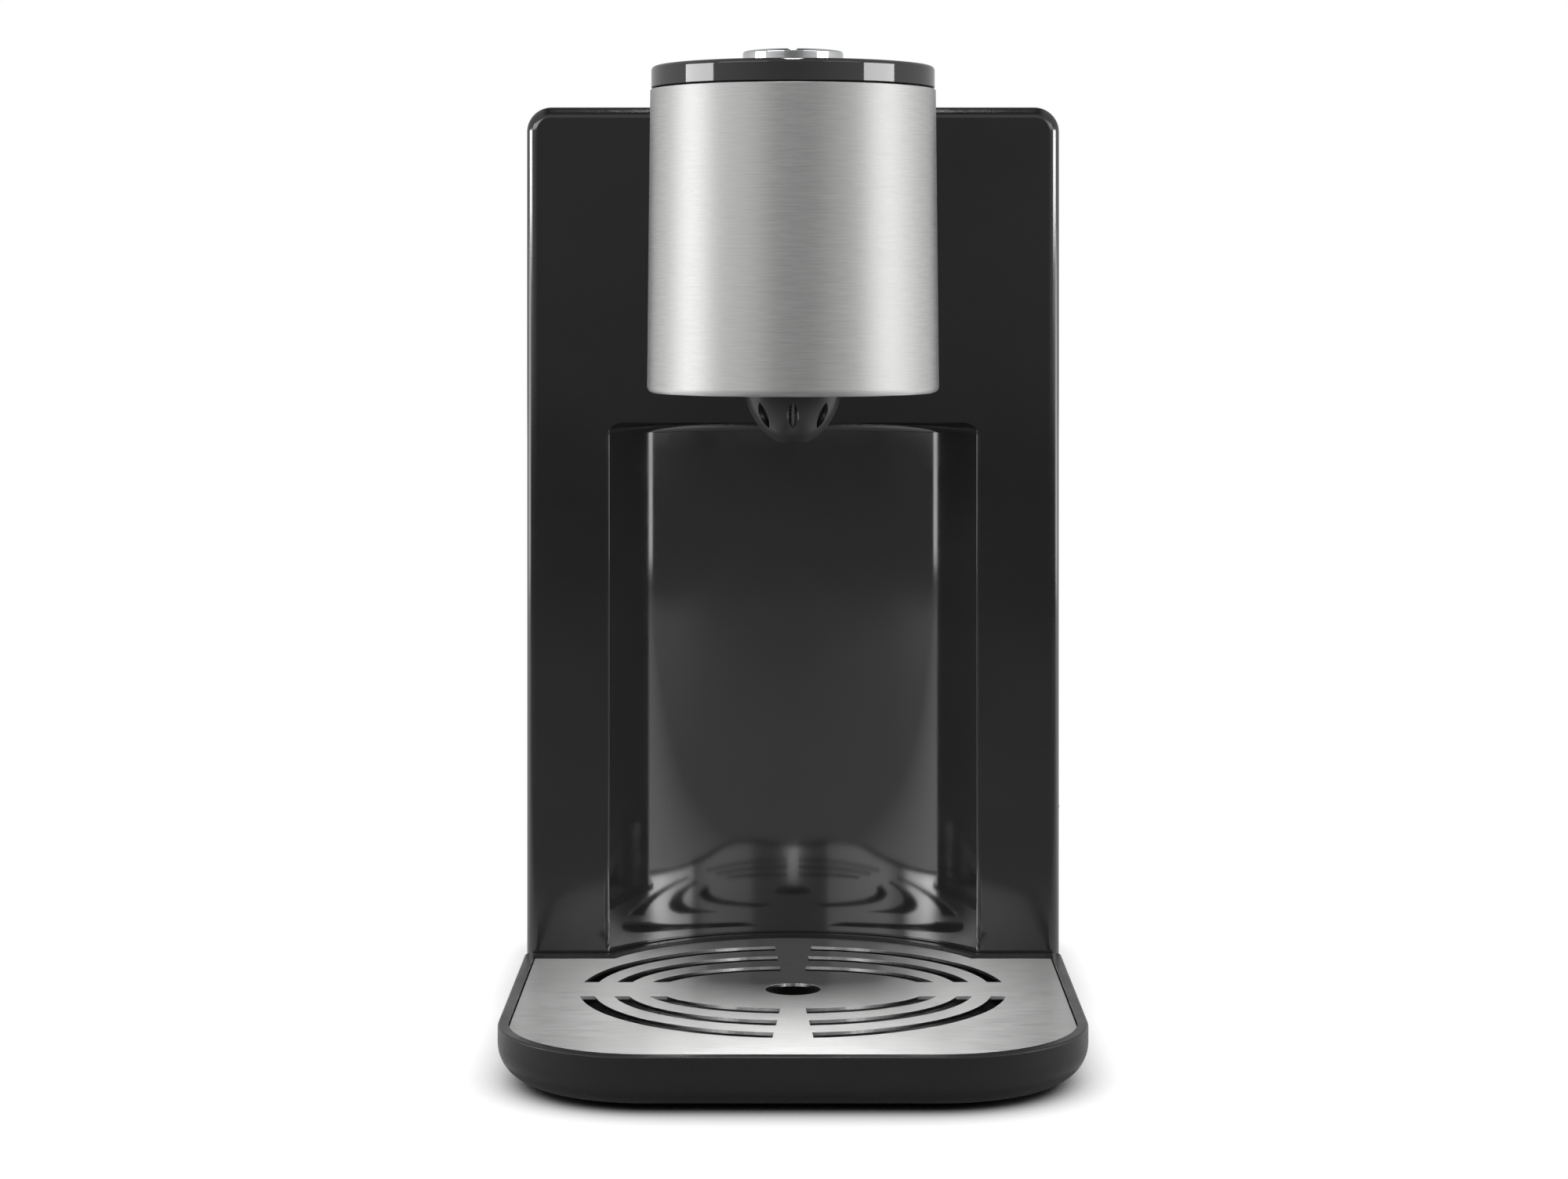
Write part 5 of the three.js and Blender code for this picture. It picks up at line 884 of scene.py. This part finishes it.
def dock():
    edge, wall, ceiling = 0.6, 2.5, DOCK_TOP - 1.2
    cup_radius, cup_low, well_radius, well_low = 17.8, 27.5, 15.8, 30
    barb_x, barb_radius, barb_low, barb_bore = 8, 2.5, 18.5, 1.5
    rings = [level(tank_plan(0, DOCK_REAR), SHELL_LOW)]
    rings += [level(tank_plan(inset, DOCK_REAR), DOCK_TOP - edge + rise) for inset, rise in rounding(edge, 4)]
    shell = skin("dock_shell", rings)
    cut(shell, prism("hollow", tank_plan(wall, DOCK_REAR), SHELL_LOW - OVER, DOCK_TOP - wall))
    places = [BASE_SCREWS["base_screw_3"], BASE_SCREWS["base_screw_4"]]
    posts = [rod("post", place.x, place.y, 4, SHELL_LOW, ceiling, 40) for place in places]
    join(shell, rod("cup", 0, TANK_MIDDLE, cup_radius, cup_low, ceiling, 72), *posts,
         rod("barb", barb_x, TANK_MIDDLE, barb_radius, barb_low, 29, 40))
    cut(shell, rod("well", 0, TANK_MIDDLE, well_radius, well_low, DOCK_TOP + 20, 72))
    join(shell, rod("pin", 0, TANK_MIDDLE, 1.8, 28.7, 33, 32))
    cut(shell,
        block("front", -PASSAGE_HALF, PASSAGE_HALF, 40, TANK_FRONT + 3, -20, PASSAGE_TOP),
        rod("bore", barb_x, TANK_MIDDLE, barb_bore, -20, 30.5, 24),
        rod("cord", CORD_X, CORD_Z, 7 + FIT, 90, 150, 64, "y"),
        *[rod("thread", place.x, place.y, SCREW_HOLE, -20, 16.8, 24) for place in places])
    dress(smooth(shell), "tank_dock", "frame", satin_black)


def grommet():
    bore, neck, flange = 3.6, 7, 9.5
    front = DOCK_REAR - 2.8
    seat = DOCK_REAR + 0.3
    outer = DOCK_REAR + 1.5
    profile = [(bore, front), (neck, front), (neck, seat), (flange, seat), (flange, outer - 0.6),
               (flange - 0.2, outer - 0.2), (flange - 0.6, outer), (bore + 0.8, outer),
               (bore + 0.3, outer - 0.2), (bore, outer - 0.6)]
    piece = turned("grommet_fine", profile, CORD_X, CORD_Z, 64, "y")
    dress(smooth(piece), "cord_grommet", "frame", rubber)


def valve_cap():
    low, high = span("valve_cap")
    inner, outer = 5, 11.5
    profile = [(inner, low + 0.2), (inner + 0.2, low), (outer - 0.2, low), (outer, low + 0.2),
               (outer, high), (inner, high)]
    cap = turned("valve_cap_fine", profile, 0, TANK_MIDDLE, 64)
    dress(smooth(cap), "valve_cap", "tank", natural_plastic)


def valve_plunger():
    low, high = span("valve_plunger")
    head = solid("valve_seal").high + FIT
    top = head + 2
    stem, disc, chamfer = 2, 7.4, 0.3
    profile = [(0, low), (stem - chamfer, low), (stem, low + chamfer), (stem, head),
               (disc - chamfer, head), (disc, head + chamfer), (disc, top - chamfer), (disc - chamfer, top),
               (stem, top), (stem, high - chamfer), (stem - chamfer, high), (0, high)]
    plunger = turned("plunger_fine", profile, 0, TANK_MIDDLE, 64)
    dress(smooth(plunger), "valve_plunger", "valve", natural_plastic)


def strainer():
    low, high = span("tank_strainer")
    radius, wall, hub, edge = 13, 1.5, 2.4, 0.8
    slot_count, slot_half, slot_inner, slot_outer = 8, 1.2, 6.5, 20
    hole_count, hole_circle, hole_radius = 6, 6.2, 1.6
    shell = turned("strainer_fine", [(0, low), (radius, low), (radius, high - edge), (radius - edge, high),
                                     (0, high)], 0, TANK_MIDDLE, 72)
    cut(shell, rod("hollow", 0, TANK_MIDDLE, radius - wall, low + wall, high - wall, 72),
        rod("hub", 0, TANK_MIDDLE, hub, low - 10, low + 2, 32))
    outline = [(slot_inner, -slot_half), (slot_outer, -slot_half), (slot_outer, slot_half),
               (slot_inner, slot_half)]
    cuts = []
    for i in range(slot_count):
        c, s = math.cos(FULL * i / slot_count), math.sin(FULL * i / slot_count)
        cuts.append(prism("slot", [(u * c - v * s, TANK_MIDDLE + u * s + v * c) for u, v in outline],
                          low + 3, high - 3))
    for i in range(hole_count):
        turn = FULL * i / hole_count
        cuts.append(rod("hole", hole_circle * math.cos(turn), TANK_MIDDLE + hole_circle * math.sin(turn),
                        hole_radius, low - 5, low + 2, 24))
    cut(shell, *cuts)
    dress(smooth(shell), "tank_strainer", "tank", natural_plastic)


def dock_seal():
    low, high = span("dock_seal")
    inner, outer, chamfer = 14.3, 15.5, 0.6
    profile = [(inner, low), (outer, low), (outer, high - chamfer), (outer - chamfer, high),
               (inner, high - chamfer)]
    seal = turned("dock_seal_fine", profile, 0, TANK_MIDDLE, 72)
    dress(smooth(seal), "dock_seal", "frame", rubber)


housing()
back_cover()
base_plate()
for name, place in FEET.items():
    foot(name, place)
for name, place in COVER_SCREWS.items():
    screw(name, place.x, place.z, COVER_BACK, -1, "y")
for name, place in BASE_SCREWS.items():
    screw(name, place.x, place.y, BASE_LOW, 1, "z")
tray()
grate()
sleeve()
head_floor()
spout()
nozzle()
ring()
knob()
power_switch()
rocker()
tank()
lid()
lid_pin()
dock()
grommet()
valve_cap()
valve_plunger()
strainer()
dock_seal()

paint(["head_carrier", "encoder_body", "pump", "flow_impeller"], satin_black)
paint(["neck_screw_1", "neck_screw_2", "encoder_shaft", "knob_spring", "valve_spring", "heater",
       "heater_strap_left", "heater_strap_right"], plain_steel)
paint(["encoder_plunger", "flow_meter", "flow_meter_cover", "thermal_fuse"], natural_plastic)
paint(["hose_dock_to_pump", "hose_pump_to_meter", "hose_meter_to_heater", "hose_heater_to_nozzle",
       "valve_seal"], silicone)
paint(["nozzle_seal", "pump_mount", "board_cable"], rubber)
paint(["control_board", "power_board"], circuit_green)


# Floor

FLOOR_HALF = 4.0
# The floor's colour in front of the object, darkened as painted shade for shiny surfaces to reflect, its pale
# colour beside it, and where one turns into the other
PAINTED_SHADE_FRONT, FLOOR_PALE_BESIDE = 0.22, 0.8185
PAINTED_SHADE_START, PAINTED_SHADE_END = -0.20, 0.0
# Between these depths shiny surfaces start to see the floor as the white background
WHITE_START, WHITE_END = -0.02, 0.08
# How bright that background is, and how much of it is mixed in
WHITE_STRENGTH, WHITE_SHARE = 1.1, 0.92
# How far the contact shadow reaches, and how open a spot is where it is black and where it is gone
CONTACT = 0.028
CONTACT_DARK, CONTACT_LIGHT = 0.12, 0.80


def seen_as_background(tree, path):
    return calculate(tree, "MAXIMUM", path.outputs["Is Camera Ray"], path.outputs["Is Transmission Ray"])


def floor_material():
    material, tree, shader = new_material("floor_white")
    output = next(n for n in tree.nodes if n.type == "OUTPUT_MATERIAL")
    shader.inputs["Specular IOR Level"].default_value = 0.1
    where = tree.nodes.new("ShaderNodeTexCoord")
    split = tree.nodes.new("ShaderNodeSeparateXYZ")
    tree.links.new(where.outputs["Object"], split.inputs["Vector"])
    depth = split.outputs["Y"]
    # Painted shade: the floor's colour is dark in front of the object and pale beside it
    painted_shade_sweep = spread(tree, depth, 0, 1, PAINTED_SHADE_START, PAINTED_SHADE_END)
    floor_colour_with_painted_shade = tint(tree, painted_shade_sweep, grey(PAINTED_SHADE_FRONT), grey(FLOOR_PALE_BESIDE), 0, 1)
    tree.links.new(floor_colour_with_painted_shade, shader.inputs["Base Color"])
    cloud = noise(tree, 3, 2)
    tree.links.new(spread(tree, cloud, 0.8, 0.95), shader.inputs["Roughness"])

    shade = tree.nodes.new("ShaderNodeAmbientOcclusion")
    shade.samples = 16
    shade.inputs["Distance"].default_value = CONTACT
    white = tree.nodes.new("ShaderNodeEmission")
    white.inputs["Strength"].default_value = WHITE_STRENGTH
    contact = tint(tree, shade.outputs["AO"], grey(0), grey(1), CONTACT_DARK, CONTACT_LIGHT)
    tree.links.new(contact, white.inputs["Color"])

    path = tree.nodes.new("ShaderNodeLightPath")
    behind = spread(tree, depth, 0, 1, WHITE_START, WHITE_END)
    shiny = calculate(tree, "MULTIPLY", path.outputs["Is Glossy Ray"], behind)
    seen = calculate(tree, "MAXIMUM", seen_as_background(tree, path), shiny)
    share = calculate(tree, "MULTIPLY", seen, WHITE_SHARE)
    surface = mix_shaders(tree, share, shader.outputs["BSDF"], white.outputs["Emission"])
    tree.links.new(surface, output.inputs["Surface"])
    return material


def floor():
    """A white floor. Camera, glossy and transmission rays see it as the white background, except in
    front of the object, where shiny surfaces see only its lit side, which has painted shade there;
    close to the object it darkens."""
    corners = [(FLOOR_HALF * x, FLOOR_HALF * y, 0) for x, y in ((-1, -1), (1, -1), (1, 1), (-1, 1))]
    mesh = bpy.data.meshes.new("floor")
    mesh.from_pydata(corners, [], [(0, 1, 2, 3)])
    obj = bpy.data.objects.new("floor", mesh)
    bpy.context.scene.collection.objects.link(obj)
    mesh.materials.append(floor_material())


# World

# What shiny surfaces see near the horizon, from the camera's side (-1) to behind the object (1)
HORIZON = [(-1.0, 0.18), (-0.85, 0.42), (-0.7, 0.54), (-0.32, 0.78), (0.05, 0.78), (0.6, 0.6), (1.0, 0.6)]
# The upper walls of the studio, the ceiling, and the gap in its middle that keeps the panel dark
WALL_LEVEL, CEILING_LEVEL, GAP_LEVEL = 0.52, 0.5, 0.06
# How steeply a ray rises where the horizon turns into the wall, and the wall into the ceiling
WALL_FROM, WALL_TO = 0.08, 0.30
CEILING_FROM, CEILING_TO = 0.5, 0.8
GAP_HALF, GAP_END = 0.25, 0.5
AMBIENT_LEVEL = 0.35


def background(tree, colour):
    node = tree.nodes.new("ShaderNodeBackground")
    feed(tree, colour, node.inputs["Color"])
    return node.outputs["Background"]


def horizon_ramp(tree, depth):
    ramp = tree.nodes.new("ShaderNodeValToRGB")
    stops = ramp.color_ramp.elements
    stops[0].color = (*grey(HORIZON[0][1]), 1)
    stops[1].color = (*grey(HORIZON[-1][1]), 1)
    for place, value in HORIZON[1:-1]:
        stops.new((place + 1) / 2).color = (*grey(value), 1)
    tree.links.new(spread(tree, depth, 0, 1, -1, 1), ramp.inputs["Fac"])
    return ramp.outputs["Color"]


def mix_colours(tree, share, first, second):
    node = tree.nodes.new("ShaderNodeMix")
    node.data_type = "RGBA"
    tree.links.new(share, node.inputs["Factor"])
    feed(tree, first, node.inputs["A"])
    feed(tree, second, node.inputs["B"])
    return node.outputs["Result"]


def world():
    """White behind, at the sides and above; dim towards the camera, as in a studio."""
    space = bpy.data.worlds.new("studio")
    bpy.context.scene.world = space
    space.use_nodes = True
    tree = space.node_tree
    tree.nodes.clear()
    output = tree.nodes.new("ShaderNodeOutputWorld")
    path = tree.nodes.new("ShaderNodeLightPath")
    where = tree.nodes.new("ShaderNodeTexCoord")
    split = tree.nodes.new("ShaderNodeSeparateXYZ")
    tree.links.new(where.outputs["Generated"], split.inputs["Vector"])
    height = split.outputs["Z"]

    aside = calculate(tree, "ABSOLUTE", split.outputs["X"])
    ceiling = tint(tree, aside, grey(GAP_LEVEL), grey(CEILING_LEVEL), GAP_HALF, GAP_END)
    overhead = mix_colours(tree, spread(tree, height, 0, 1, CEILING_FROM, CEILING_TO),
                           (*grey(WALL_LEVEL), 1), ceiling)
    around = mix_colours(tree, spread(tree, height, 0, 1, WALL_FROM, WALL_TO),
                         horizon_ramp(tree, split.outputs["Y"]), overhead)
    ambient, white = (background(tree, (*grey(value), 1)) for value in (AMBIENT_LEVEL, 1))
    glossy = mix_shaders(tree, path.outputs["Is Glossy Ray"], ambient, background(tree, around))
    final = mix_shaders(tree, seen_as_background(tree, path), glossy, white)
    tree.links.new(final, output.inputs["Surface"])


# Lamps and camera

LAMP_DISTANCE = 1.3
MIDDLE_X, MIDDLE_Y = OFFSET_X / 1000, (AXIS + OFFSET_Y) / 1000


def area_light(name, place, target, width, height, radiance):
    data = bpy.data.lights.new(name, "AREA")
    data.shape = "RECTANGLE"
    data.size = width
    data.size_y = height
    data.energy = radiance * math.pi * width * height
    obj = bpy.data.objects.new(name, data)
    obj.location = place
    direction = Vector(target) - Vector(place)
    obj.rotation_euler = direction.to_track_quat("-Z", "Y").to_euler()
    bpy.context.scene.collection.objects.link(obj)


def side_light(name, from_degrees, to_degrees, low, high, radiance):
    """An upright panel between two bearings, measured from the front; negative is left."""
    middle = math.radians((from_degrees + to_degrees) / 2)
    half = math.radians(abs(to_degrees - from_degrees) / 2)
    width = 2 * LAMP_DISTANCE * math.tan(half)
    target = Vector((MIDDLE_X, MIDDLE_Y, (low + high) / 2))
    place = target + Vector((math.sin(middle), -math.cos(middle), 0)) * LAMP_DISTANCE
    area_light(name, place, target, width, high - low, radiance)


def camera():
    data = bpy.data.cameras.new("camera")
    data.lens = 74.83
    data.sensor_width = 36
    data.shift_x = -0.00575
    data.shift_y = -0.1945
    data.clip_start = 0.01
    obj = bpy.data.objects.new("camera", data)
    obj.location = (MIDDLE_X, -1.039, 0.2322)
    obj.rotation_euler = (QUARTER, 0, 0)
    bpy.context.scene.collection.objects.link(obj)
    bpy.context.scene.camera = obj


floor()
world()
side_light("left_panel", -95, -66, 0.27, 0.44, 11.0)
side_light("right_panel", 58, 88, 0.27, 0.44, 11.0)
side_light("left_low_panel", -110, -82, 0.02, 0.26, 2.5)
side_light("right_low_panel", 82, 110, 0.02, 0.26, 2.5)
side_light("left_fill_panel", -62, -20, 0.45, 0.80, 2.9)
side_light("right_fill_panel", 24, 56, 0.45, 0.80, 1.7)
area_light("top_panel", (MIDDLE_X, -0.05, 1.15), (MIDDLE_X, -0.05, 0), 0.10, 0.60, 29.0)
camera()
bpy.context.scene.view_settings.view_transform = "Standard"

bpy.context.view_layer.update()
